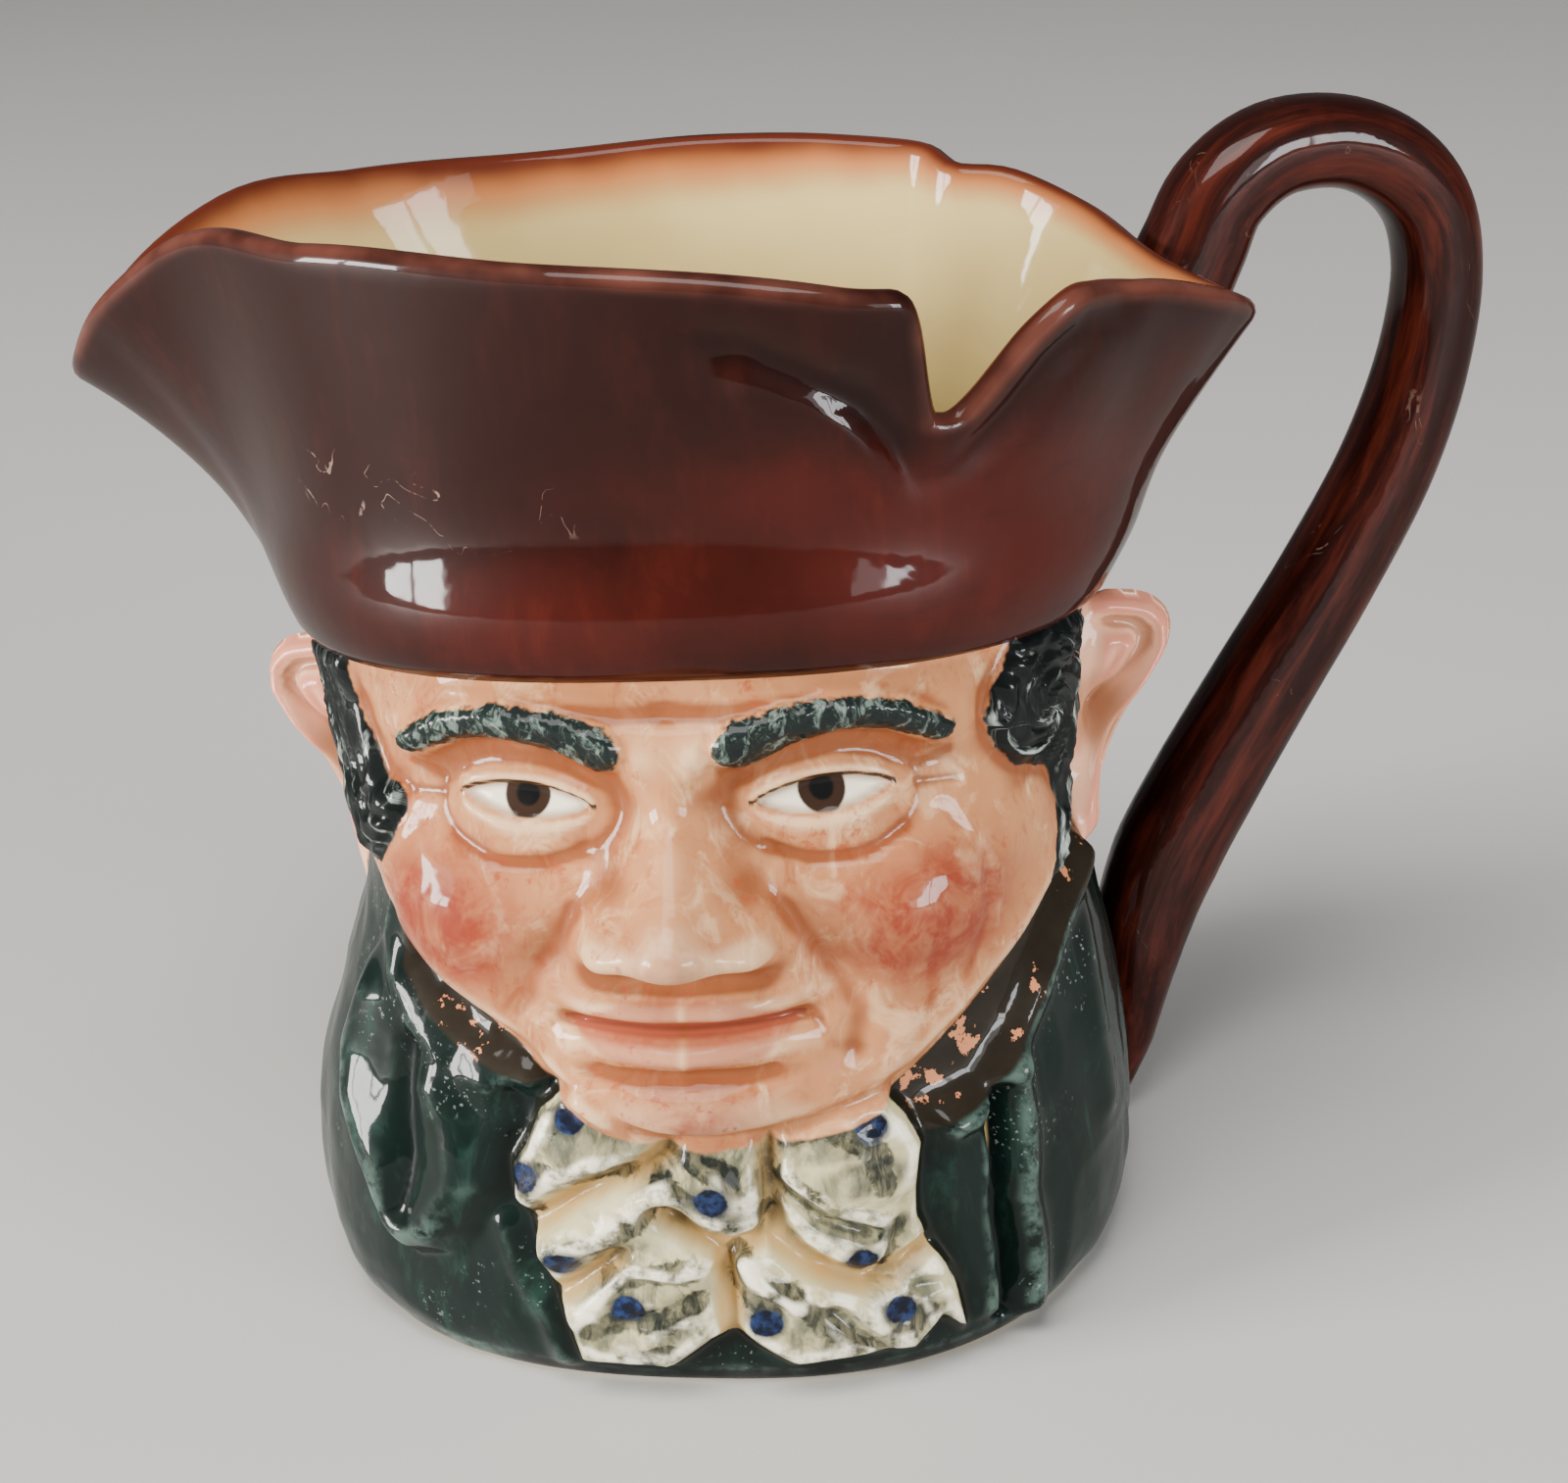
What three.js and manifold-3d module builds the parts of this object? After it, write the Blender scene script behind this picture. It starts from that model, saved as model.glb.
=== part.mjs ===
// Toby jug: a hollow glazed earthenware jug shaped as a head in a tricorn hat,
// with a coat and a spotted cravat below and a looped handle at one side.
// Millimetres, +Z up. The face looks towards -Y, the spout points to -X,
// the handle stands out to +X. The origin is the middle of the flat underside.

import * as THREE from 'three';
import { mergeVertices } from 'three/addons/utils/BufferGeometryUtils.js';
import Module from 'manifold-3d';

// ---------------------------------------------------------------- sizes
const WALL = 4.6;            // thickness of the fired wall
const LIP = 1.7;             // radius of the rounded rim
const FLOOR = 6;             // top of the inner floor
const FLOOR_CURVE = 9;       // inner radius between floor and wall
const FOOT_BEVEL = 1.2;      // soft edge round the underside
const SECTION_POWER = 2.35;  // squareness of the plan section
const FACE_ARC = 45;         // mm of surface for one radian round the head

// body from the foot to the hat: height, half width, front depth, back depth, sideways shift
const BODY_Z = [0, 3, 9, 18, 30, 42, 54, 66, 78, 92];
const BODY_HALF = [48, 50.5, 52.5, 52.8, 51.4, 48.2, 44.8, 43.8, 45.2, 47.3];
const BODY_FRONT = [45, 46.5, 47.5, 47.5, 46.5, 45, 44, 44, 44, 44];
const BODY_BACK = [44, 46, 48, 48.5, 47.5, 46, 44, 43, 43, 43];
const BODY_SHIFT = [-2, -2, -2, -2, -1.6, -0.6, 0, 0, 0, 0];
const FOOT_BULGE = 2.2;      // the coat hem swells a little towards the front right

// hat: lower edge, how far it stands out from the head, and the rim round the top
const HAT_EDGE = 87;
const HAT_EDGE_TILT = 4.5;
const HAT_PROUD = 1.6;
const HAT_ROLL = 3.2;        // its band swells above the lower edge
const HAT_ROLL_UP = 6.5;
const RIM_ANGLE = [-180, -150, -125, -108, -97, -88, -79, -70, -45, -15, 10, 29, 50, 66,
  78, 85, 92, 105, 120, 140, 160];
const RIM_RADIUS = [46, 50, 58.5, 65.5, 72.5, 77.5, 71.5, 63, 53.5, 49.5, 52, 56.5, 61, 62.5,
  67, 68.6, 65.6, 60, 57, 51, 47];
const RIM_HEIGHT = [133.5, 132.6, 133, 132.8, 126.5, 118, 127, 135.5, 139.5, 138.8, 137.3,
  134.6, 131.2, 128.6, 124, 121, 120.8, 122, 126, 131.5, 133.2];
const SPOUT_AT = -88;
const SPOUT_KICK = 0.12;     // how much the spout flares close to the rim
const CORNER_AT = 85;
const NOTCH_AT = 35;         // the cut in the brim
const NOTCH_DEPTH = 14.2;
const NOTCH_RISE = 19.2;     // how high its sides would run if they met in a point
const NOTCH_STEEP = 5.4;     // degrees taken by its steep side
const NOTCH_SLOPE = 18;      // degrees taken by its sloping side
const CREASE_AT = 138;       // fold down the back of the hat
const CREASE_LEAN = 7;       // degrees the fold moves back from the rim to the head
const CREASE_DEPTH = 2.2;

// handle: distance from the axis, height and width at each station, in one upright plane
const HANDLE_AT = 112;
const HANDLE_OUT = [47.8, 55.6, 62.5, 66, 69.5, 76.5, 86, 93.5, 98.5, 100.3, 98.6, 93.6, 85, 75.4,
  67.4, 61.4, 57.8, 56, 54.8, 53.4];
const HANDLE_UP = [101, 107.8, 114.5, 120.5, 127, 131.6, 131.8, 128.4, 122.5, 114, 102, 88.5, 74, 60,
  48, 38, 29, 20, 12, 5];
const HANDLE_WIDE = [12, 14, 14, 13.4, 12.6, 12, 11.6, 11.6, 11.4, 11.2, 11.6, 12.4, 13, 13.8,
  14.6, 14.8, 13, 10, 7.5, 4];
const HANDLE_DEEP = 12.4;

// ear outline: distance out from the head and height
const EAR_OUT = [-3, -2, 0.4, 2.4, 3.4, 5, 7.6, 11, 13.2, 12.8, 9.4, 3.2, -2, -3, -3, -3];
const EAR_UP = [53.5, 50, 48.8, 51, 55.5, 61, 66.5, 71.5, 76, 80.6, 84, 85.6, 85.4, 80, 70, 60];
const EAR_LEFT_DROP = 3;     // the left ear sits a little lower
const EAR_LEFT_LEAN = 3.2;   // and its top leans out further
const EAR_LOW = 52.3;        // height of the lobe
const EAR_SIZE = 0.83;
const EAR_AT = 84;
const EAR_SWEEP = 24;        // degrees the ear leans back from the head
const EAR_THICK = 4.4;

// ---------------------------------------------------------------- small helpers
const rad = THREE.MathUtils.degToRad;
const deg = THREE.MathUtils.radToDeg;
const clamp = THREE.MathUtils.clamp;
const lerp = THREE.MathUtils.lerp;
const TURN = Math.PI * 2;

function smooth(from, to, x) {
  const s = clamp((x - from) / (to - from), 0, 1);
  return s * s * (3 - 2 * s);
}

function bell(x, centre, width) {
  const s = (x - centre) / width;
  return Math.exp(-s * s);
}

function wrap(a) {
  return a - TURN * Math.floor((a + Math.PI) / TURN);
}

function curve(x, xs, ys) {
  const last = xs.length - 1;
  let i = 0;
  while (i < last - 1 && x > xs[i + 1]) {
    i += 1;
  }
  const h = xs[i + 1] - xs[i];
  const s = clamp((x - xs[i]) / h, 0, 1);
  const a = curveSlope(i, xs, ys) * h;
  const b = curveSlope(i + 1, xs, ys) * h;
  const inv = 1 - s;
  return ys[i] * (1 + 2 * s) * inv * inv + a * s * inv * inv
    + ys[i + 1] * s * s * (3 - 2 * s) + b * s * s * (s - 1);
}

function curveSlope(i, xs, ys) {
  const last = xs.length - 1;
  if (i === 0) {
    return (ys[1] - ys[0]) / (xs[1] - xs[0]);
  }
  if (i === last) {
    return (ys[last] - ys[last - 1]) / (xs[last] - xs[last - 1]);
  }
  const before = xs[i] - xs[i - 1];
  const after = xs[i + 1] - xs[i];
  const left = (ys[i] - ys[i - 1]) / before;
  const right = (ys[i + 1] - ys[i]) / after;
  return (left * after + right * before) / (before + after);
}

function roundCurve(angle, angles, values) {
  const n = angles.length;
  const xs = [angles[n - 2] - 360, angles[n - 1] - 360, ...angles, angles[0] + 360, angles[1] + 360];
  const ys = [values[n - 2], values[n - 1], ...values, values[0], values[1]];
  return curve(deg(wrap(angle)), xs, ys);
}

function smoothMin(a, b, k) {
  const h = Math.max(k - Math.abs(a - b), 0) / k;
  return Math.min(a, b) - h * h * k / 4;
}

// distance from (x, y) to a broken line given as [x, y] corners, with the place along it (0 to 1)
function toLine(x, y, line) {
  let best = 1e9;
  let along = 0;
  let total = 0;
  for (let i = 0; i < line.length - 1; i += 1) {
    total += Math.hypot(line[i + 1][0] - line[i][0], line[i + 1][1] - line[i][1]);
  }
  let run = 0;
  for (let i = 0; i < line.length - 1; i += 1) {
    const dx = line[i + 1][0] - line[i][0];
    const dy = line[i + 1][1] - line[i][1];
    const len = Math.hypot(dx, dy);
    const s = clamp(((x - line[i][0]) * dx + (y - line[i][1]) * dy) / (len * len), 0, 1);
    const d = Math.hypot(x - line[i][0] - s * dx, y - line[i][1] - s * dy);
    if (d < best) {
      best = d;
      along = (run + s * len) / total;
    }
    run += len;
  }
  return [best, along];
}

// signed distance to a closed outline, positive inside
function insideBy(x, y, outline) {
  let best = 1e9;
  let odd = false;
  const n = outline.length;
  for (let i = 0; i < n; i += 1) {
    const a = outline[i];
    const b = outline[(i + 1) % n];
    const dx = b[0] - a[0];
    const dy = b[1] - a[1];
    const s = clamp(((x - a[0]) * dx + (y - a[1]) * dy) / (dx * dx + dy * dy), 0, 1);
    best = Math.min(best, Math.hypot(x - a[0] - s * dx, y - a[1] - s * dy));
    if ((a[1] > y) !== (b[1] > y) && x < a[0] + dx * (y - a[1]) / dy) {
      odd = !odd;
    }
  }
  return odd ? best : -best;
}

// a rounded ridge (or groove, with a negative height) along a line
function stroke(x, y, line, height, width) {
  const [d] = toLine(x, y, line);
  return height * bell(d, 0, width);
}

function mound(x, y, cx, cy, rx, ry, height) {
  const a = (x - cx) / rx;
  const b = (y - cy) / ry;
  return height * Math.exp(-a * a - b * b);
}

// ---------------------------------------------------------------- plain form of body and hat
function sectionRadius(t, half, front, back) {
  const s = Math.sin(t);
  const c = Math.cos(t);
  const w = smooth(-0.35, 0.35, c);
  const depth = front * w + back * (1 - w);
  const sum = Math.abs(s / half) ** SECTION_POWER + Math.abs(c / depth) ** SECTION_POWER;
  return sum ** (-1 / SECTION_POWER);
}

function bodyRadius(t, z) {
  const half = curve(z, BODY_Z, BODY_HALF);
  const front = curve(z, BODY_Z, BODY_FRONT);
  const back = curve(z, BODY_Z, BODY_BACK);
  const hem = FOOT_BULGE * bell(deg(wrap(t)), 26, 30) * smooth(14, 2, z);
  return sectionRadius(t, half, front, back) + curve(z, BODY_Z, BODY_SHIFT) * Math.sin(t) + hem;
}

function hatEdge(t) {
  return HAT_EDGE + HAT_EDGE_TILT * Math.cos(t);
}

function notchDrop(t) {
  const d = deg(wrap(t - rad(NOTCH_AT)));
  const steep = NOTCH_RISE * smooth(-NOTCH_STEEP, 1.6, d) ** 1.3;
  const slope = NOTCH_RISE * (1 - smooth(-1, NOTCH_SLOPE, d) ** 1.15);
  return Math.max(0, smoothMin(smoothMin(steep, slope, 3), NOTCH_DEPTH, 4));
}

function rimHeight(t) {
  const back = bell(deg(wrap(t - rad(CREASE_AT + 1))), 0, 3.4);
  return roundCurve(t, RIM_ANGLE, RIM_HEIGHT) - LIP - notchDrop(t) - back;
}

// soft folds of the brim on both sides of the notch: angle in degrees and height
const FOLD_FRONT = [[0, 131.5], [12, 129.5], [20, 126], [27, 122.6], [32, 117.5], [34, 112]];
const FOLD_LOW = [[14, 126], [21, 123], [27, 118], [31, 111.5]];
const FOLD_SIDE = [[60, 128], [54, 127.5], [49.5, 124], [46, 119], [41, 113.5], [36, 110]];

function hatFolds(t, z) {
  const x = deg(wrap(t));
  if (x < -5 || x > 85) {
    return 0;
  }
  let h = stroke(x, z, FOLD_FRONT, -1.7, 2.7) * smooth(0, 14, x);
  h += stroke(x, z, FOLD_LOW, 0.9, 2.6);
  h += stroke(x, z, FOLD_SIDE, -1.5, 2.5);
  h += mound(x, z, 25, 130, 5, 4.5, 0.8);
  return h + mound(x, z, 57, 119, 9, 8, 0.7);
}

function hatRoll(t, up) {
  return HAT_ROLL * bell(up, HAT_ROLL_UP, 7.5) * (0.65 + 0.35 * bell(deg(wrap(t)), 0, 60));
}

function hatRadius(t, z) {
  const rim = roundCurve(t, RIM_ANGLE, RIM_RADIUS);
  const top = roundCurve(t, RIM_ANGLE, RIM_HEIGHT);
  const edge = hatEdge(t);
  const h = clamp((z - edge) / (top - edge), 0, 1.1);
  const from = bodyRadius(t, edge) + HAT_PROUD + hatRoll(t, z - edge);
  const power = 1.2 + 0.9 * bell(deg(wrap(t)), 12, 34);
  const kick = SPOUT_KICK * bell(wrap(t - rad(SPOUT_AT)), 0, rad(30));
  const flare = (1 - kick) * h ** power + kick * h ** 6;
  const fold = deg(wrap(t - rad(CREASE_AT))) - CREASE_LEAN * (1 - h);
  const crease = CREASE_DEPTH * bell(fold, 0, 5) * smooth(0.1, 0.8, h);
  return from + (rim - from) * flare - crease + hatFolds(t, z) * smooth(0.25, 0.6, h);
}

function place(t, r, z) {
  return new THREE.Vector3(r * Math.sin(t), -r * Math.cos(t), z);
}

function hatPoint(t, z) {
  return place(t, hatRadius(t, z), z);
}

function hatNormal(t, z) {
  const e = 0.01;
  const side = hatPoint(t + e, z).sub(hatPoint(t - e, z));
  const up = hatPoint(t, z + 0.3).sub(hatPoint(t, z - 0.3));
  return side.cross(up).normalize();
}

// ---------------------------------------------------------------- dress: outlines on the unrolled surface
// across = mm round the body from the middle of the front, up = height
const NECK = {
  across: [-52, -42, -36.5, -32.5, -28, -24, -19.5, -16, -10, -1, 9, 22, 28.5, 36, 45.5, 56],
  up: [69, 64, 60, 55.5, 50.5, 47.5, 44.5, 41.5, 37.3, 34.2, 34.6, 38, 42.6, 47.6, 53, 58],
};
const CRAVAT = [[-14.7, 40.7], [-11.7, 41.4], [-8.9, 39.5], [-5.5, 37], [-1.4, 35.2], [4, 34.9],
  [11, 35.9], [15.7, 37.7], [21.2, 38.5], [23.4, 35.2], [24.5, 31.5], [23.6, 26.4], [23.4, 22.2],
  [24.9, 17.8], [27.1, 13], [28, 5.6], [25.3, 8.4], [22, 5], [17, 5.4], [9.2, 4.8], [6.9, 6.6],
  [3.7, 9.2], [0.6, 8.6], [-3.9, 4.8], [-14.1, 4.8], [-14.6, 9], [-15.7, 14], [-18.1, 23.7],
  [-20.1, 27.2], [-20.2, 30.9], [-18.5, 34], [-17.1, 38]];
const COLLAR_LEFT = [[-38.5, 60], [-36.4, 55.5], [-35.6, 51], [-32, 47], [-27.7, 44], [-23, 42],
  [-18.8, 41.4]];
const COLLAR_RIGHT = [[59, 54.5], [50, 49.8], [43, 44.6], [39.6, 40.8], [36.4, 37.8], [33.4, 34.6],
  [27.5, 33]];
const LAPEL_LEFT = [[-39, 58], [-35.6, 50], [-32, 45.8], [-27.7, 42.6], [-21.4, 40.6], [-21, 35],
  [-22, 32], [-22.4, 26.3], [-28.6, 17], [-33, 15.6], [-36, 19], [-40, 25.5], [-44, 33],
  [-46.5, 40], [-45, 50]];
const LAPEL_RIGHT = [[27.5, 33.5], [32.5, 34], [33.5, 25], [34, 12], [33, 5], [30, 6], [27.4, 14],
  [26, 22], [26.6, 30]];
const FOLD_RIGHT = [[34.5, 34], [34.4, 27], [33.4, 20], [34, 13], [34, 5]];
const HAIR_LEFT = [[-43, 90], [-41.5, 83.5], [-38.5, 78], [-36.5, 75.4], [-33, 75.2], [-32.4, 72],
  [-35.5, 65.5], [-40, 65], [-46, 67.5], [-52, 76], [-55.5, 90]];
const HAIR_RIGHT = [[41.5, 90], [38, 85], [36.5, 80.8], [37.8, 77], [41, 73.6], [47.5, 71], [49.2, 66],
  [48.5, 62], [45.5, 56], [50.5, 56.5], [53.5, 65], [56.5, 75], [57.5, 90]];

function cravatRelief(x, z) {
  const inside = insideBy(x, z, CRAVAT);
  if (inside < -4) {
    return 0;
  }
  let h = 3;
  h += mound(x, z, -12, 34.5, 7, 5, 1.9);
  h += mound(x, z, 16.5, 30, 7.5, 6.5, 2.1);
  h += mound(x, z, 2.4, 28.6, 4.6, 5, 2.1);
  h += mound(x, z, -5, 12, 8, 6, 1.3);
  h += mound(x, z, 14, 11, 8, 5, 1.3);
  h += stroke(x, z, [[-17, 20.5], [-10.1, 23.4], [-4.5, 28.6]], 1.9, 2.3);
  h += stroke(x, z, [[-17.5, 24], [-13.4, 27.5], [-9.9, 29.8], [-6.4, 31.2], [-3, 34]], -2.8, 1.5);
  h += stroke(x, z, [[-18, 27.8], [-14.7, 31], [-10.5, 32.4]], 0.7, 1.3);
  h += stroke(x, z, [[8, 35.5], [7.9, 29], [7.8, 23]], -2.7, 1.2);
  h += stroke(x, z, [[-4, 26], [0, 22.6], [3.4, 21.2], [7.8, 22.6], [11.3, 18.2], [16.6, 15.4],
    [20, 15.6], [24, 18.2]], -2.8, 1.4);
  h += stroke(x, z, [[2.3, 20.5], [2.8, 15], [2.7, 8.5]], -2.8, 1.4);
  h += stroke(x, z, [[-8.6, 20.6], [-11.4, 18], [-15, 15]], -2.4, 1.3);
  h += stroke(x, z, [[-7.4, 19.6], [-2.2, 18.4], [1, 19.6]], 1.1, 1.2);
  h += stroke(x, z, [[-13.4, 11.5], [-8.8, 18.2]], 0.8, 1.4);
  h += stroke(x, z, [[-9.4, 10.6], [-4, 13.4], [-0.6, 14.8]], -1.1, 1.1);
  h += stroke(x, z, [[9.2, 28.6], [13, 24.2], [17.5, 21.8]], -1.8, 0.9);
  h += stroke(x, z, [[9.6, 31], [14.2, 26.4], [18.5, 24]], 0.8, 1.1);
  h += stroke(x, z, [[8.6, 25.4], [10.4, 20.6], [13, 18.4]], -1.3, 0.8);
  h += stroke(x, z, [[22.2, 25.5], [21.2, 20.4], [19, 16.4]], -1.4, 0.9);
  h += stroke(x, z, [[4.4, 19.2], [6.2, 16.6], [9.6, 13.8]], 1.2, 1.2);
  h += stroke(x, z, [[11.5, 15.2], [15.9, 13.8], [18, 10]], 0.9, 1.2);
  h += stroke(x, z, [[13.4, 12.4], [16.6, 8.4], [19.4, 5]], -1.2, 0.9);
  h += stroke(x, z, [[22.4, 13.6], [27.4, 13]], -1, 0.9);
  return Math.max(h, 0.5) * smooth(-1.3, 1.5, inside);
}

function coatRelief(x, z) {
  const neck = z - curve(x, NECK.across, NECK.up);
  const below = smooth(3, -1.5, neck) * smooth(74, 60, Math.abs(x));
  let h = 0;
  h += stroke(x, z, COLLAR_LEFT, 2.1, 2.2);
  h += stroke(x, z, COLLAR_RIGHT, 2.3, 2.4);
  const left = insideBy(x, z, LAPEL_LEFT);
  h += 2.4 * smooth(-1.4, 2, left);
  const cloth = smooth(-1, 3, left);
  h += stroke(x, z, [[-41.5, 46], [-42.4, 38.8], [-41, 33.5], [-36, 26.5], [-34, 19.5]], 1.8, 3) * cloth;
  h += stroke(x, z, [[-29.5, 38], [-27, 33], [-26.5, 27.5], [-29.5, 21]], 1.5, 2.8) * cloth;
  h += stroke(x, z, [[-34, 42], [-33.6, 36], [-32.6, 29], [-33, 22]], -1.7, 1.7) * smooth(-1, 2, left);
  h += stroke(x, z, [[-22, 22], [-20.4, 16], [-17.6, 10], [-16.6, 4]], 1.1, 1.6);
  const right = insideBy(x, z, LAPEL_RIGHT);
  h += 1.7 * smooth(-1.4, 1.8, right);
  h += stroke(x, z, FOLD_RIGHT, -3, 1.4);
  h += stroke(x, z, [[37.4, 36], [37.4, 27], [36.6, 20], [37.4, 13], [37, 5]], 2.3, 2.3);
  h += stroke(x, z, [[58.6, 54], [57, 46.8], [54.6, 40], [53.8, 32], [54.4, 24]], 1.3, 3.2);
  return h * below;
}

function hairRelief(x, z) {
  const left = smooth(-1, 1.6, insideBy(x, z, HAIR_LEFT));
  const right = smooth(-1, 1.6, insideBy(x, z, HAIR_RIGHT));
  const curl = mound(x, z, 46, 79, 8, 7, 1.6) + mound(x, z, -37, 71, 5, 4.5, 1.2);
  return Math.max(left, right) * (1.9 + curl);
}

// ---------------------------------------------------------------- face: a plain, calm, regular one
const FACE_ROUND = 2.5;      // keeps the middle of the face smooth
const EYE = { across: 17, up: 76, long: 7.9, high: 2.1, low: 2 };
const NOSE_UP = [54.5, 56.5, 58, 59.5, 62, 65, 68, 72, 76, 80, 86];
const NOSE_OUT = [0, 0.8, 4.2, 8.8, 11.6, 11.2, 9.2, 6.6, 4.4, 3.2, 0.8];
const NOSE_HALF = [6, 6, 6.6, 7.2, 7.2, 6.4, 5.4, 4.7, 4.4, 5.2, 7];
const BROW = [[8.2, 83.2], [13, 85], [19, 86], [25, 85], [30, 82]];
const CHEEK_LINE = [[11.6, 63], [15.5, 57.5], [18.6, 50], [18, 46]];

function faceRelief(x, z) {
  const s = Math.sqrt(x * x + FACE_ROUND);
  const neck = z - curve(x, NECK.across, NECK.up);
  let h = 3.2 * smooth(84, 58, z);
  h += mound(s, z, 25.5, 61.5, 9.5, 9, 3.9);
  h += mound(s, z, 35, 68, 9, 7, 1.2);
  h += mound(s, z, 17, 77, 9.5, 6.2, -4.2);
  h += stroke(s, z, [[4, 83], [13, 86], [22, 86.5], [31, 83]], 2.2, 4);
  h += mound(x, z, 0, 50.5, 16, 7.5, 2.8);
  h += mound(x, z, 0, 39.8, 12, 5.2, 4.4);
  h += mound(x, z, 0, 44.6, 9, 1.8, -1.5);
  h += mound(x, z, 0, 47.4, 8.6, 2.1, 2.3);
  h += mound(s, z, 4.2, 52.7, 5.4, 1.6, 1.8);
  const lips = 50.2 + 0.003 * s * s;
  h -= 1.7 * bell(z, lips, 0.9) * smooth(14.5, 11, s);
  h -= bell(Math.hypot(s - 13.8, z - 50.8), 0, 2.2);
  h += stroke(s, z, CHEEK_LINE, -1.2, 2.2);
  h -= 0.6 * bell(s, 0, 1.7) * smooth(53.5, 55, z) * smooth(59, 57, z);
  const noseHalf = curve(z, NOSE_UP, NOSE_HALF);
  const noseOut = z > 54.5 && z < 86 ? curve(z, NOSE_UP, NOSE_OUT) : 0;
  h += noseOut * Math.exp(-((s / noseHalf) ** 2.1)) + mound(x, z, 0, 62.4, 5, 4.4, 1.6);
  h += mound(s, z, 7.6, 61.2, 2.9, 3.3, 4.4);
  h -= 1.6 * bell(Math.hypot((s - 4.3) / 1.5, z - 58.4), 0, 1.5);
  h += eyeRelief(s - EYE.across, z - EYE.up);
  const [browAway, browAlong] = toLine(s, z, BROW);
  const browWide = lerp(2.9, 1.6, browAlong);
  h += 1.7 * smooth(browWide + 0.8, browWide - 1, browAway);
  return h * smooth(-0.6, 4.2, neck) * smooth(66, 50, Math.abs(x));
}

function eyeRelief(a, b) {
  const ball = Math.max(0, 1 - (a / 11) ** 2 - (b / 7.2) ** 2) ** 1.15;
  const arch = Math.max(0, 1 - (a / EYE.long) ** 2);
  const upper = EYE.high * arch ** 0.75 + 0.04 * a;
  const lower = -EYE.low * arch ** 0.85 + 0.04 * a;
  const gap = Math.min(upper - b, b - lower);
  const open = smooth(-0.35, 0.35, gap) * smooth(EYE.long, EYE.long - 1.2, Math.abs(a));
  const lidTop = bell(b, upper + 0.75, 0.75) * smooth(9.4, 7, Math.abs(a));
  const lidLow = bell(b, lower - 0.6, 0.65) * smooth(9, 6.5, Math.abs(a));
  const crease = bell(b, upper + 2.9, 0.75) * smooth(10, 6.5, Math.abs(a));
  const under = bell(b, lower - 3.4, 1.2) * smooth(10, 5, Math.abs(a));
  return 4.2 * ball - 0.75 * open + 0.7 * lidTop + 0.5 * lidLow - 0.6 * crease - 0.35 * under;
}

// all of the carving on the body, added to the plain radius
function bodyRelief(t, z) {
  const x = wrap(t) * FACE_ARC;
  if (Math.abs(x) > 80) {
    return 0;
  }
  const foot = smooth(0.5, 4, z);
  const edge = hatEdge(t);
  const under = smooth(edge + 0.5, edge - 2.5, z);
  const face = faceRelief(x, z) * under;
  const hair = hairRelief(x, z) * (0.35 + 0.65 * under);
  return Math.max(face, 0.6 * face + hair) + (coatRelief(x, z) + cravatRelief(x, z)) * foot;
}

// ---------------------------------------------------------------- the shell as a closed lattice
const COLUMNS = 74;
const BODY_ROWS = [1.6, 5, 8.5, 12, 15.5, 19, 22.5, 26, 29.5, 33, 36.4, 39.6, 42.6, 45, 47.4, 50.2, 53,
  56.4, 58.6, 61, 64, 67.4, 70.6, 73.4, 76, 78.6, 81.4, 84.4, 87.4, 90.4];
const HAT_ROWS = 8;
const LIP_STEPS = 3;
const INNER_HAT_STEPS = [0.87, 0.6, 0.35, 0.12];
const INNER_ROWS = [74, 54, 34, 18, 11, 7.5];

// columns stand close together across the front and wide apart at the back
function columnAngles(count) {
  const steps = 3600;
  const sum = [0];
  for (let i = 0; i < steps; i += 1) {
    const a = Math.abs(deg(-Math.PI + TURN * (i + 0.5) / steps));
    const gap = 2.8 + 1.3 * smooth(30, 60, a) + 4.4 * smooth(72, 112, a);
    sum.push(sum[i] + 1 / gap);
  }
  const angles = [];
  let i = 0;
  for (let k = 0; k < count; k += 1) {
    const want = sum[steps] * k / count;
    while (sum[i + 1] < want) {
      i += 1;
    }
    const part = (want - sum[i]) / (sum[i + 1] - sum[i]);
    angles.push(-Math.PI + TURN * (i + part) / steps);
  }
  return angles;
}

// towards the rim the columns draw together at the notch, the spout and the corner
function gather(t, at, strength, width) {
  const d = deg(wrap(t - rad(at)));
  return t - rad(d * strength * bell(d, 0, width));
}

function rimAngle(t) {
  let a = gather(t, NOTCH_AT - 2, 0.62, 13);
  a = gather(a, SPOUT_AT, 0.6, 22);
  return gather(a, CORNER_AT, 0.45, 16);
}

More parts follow.
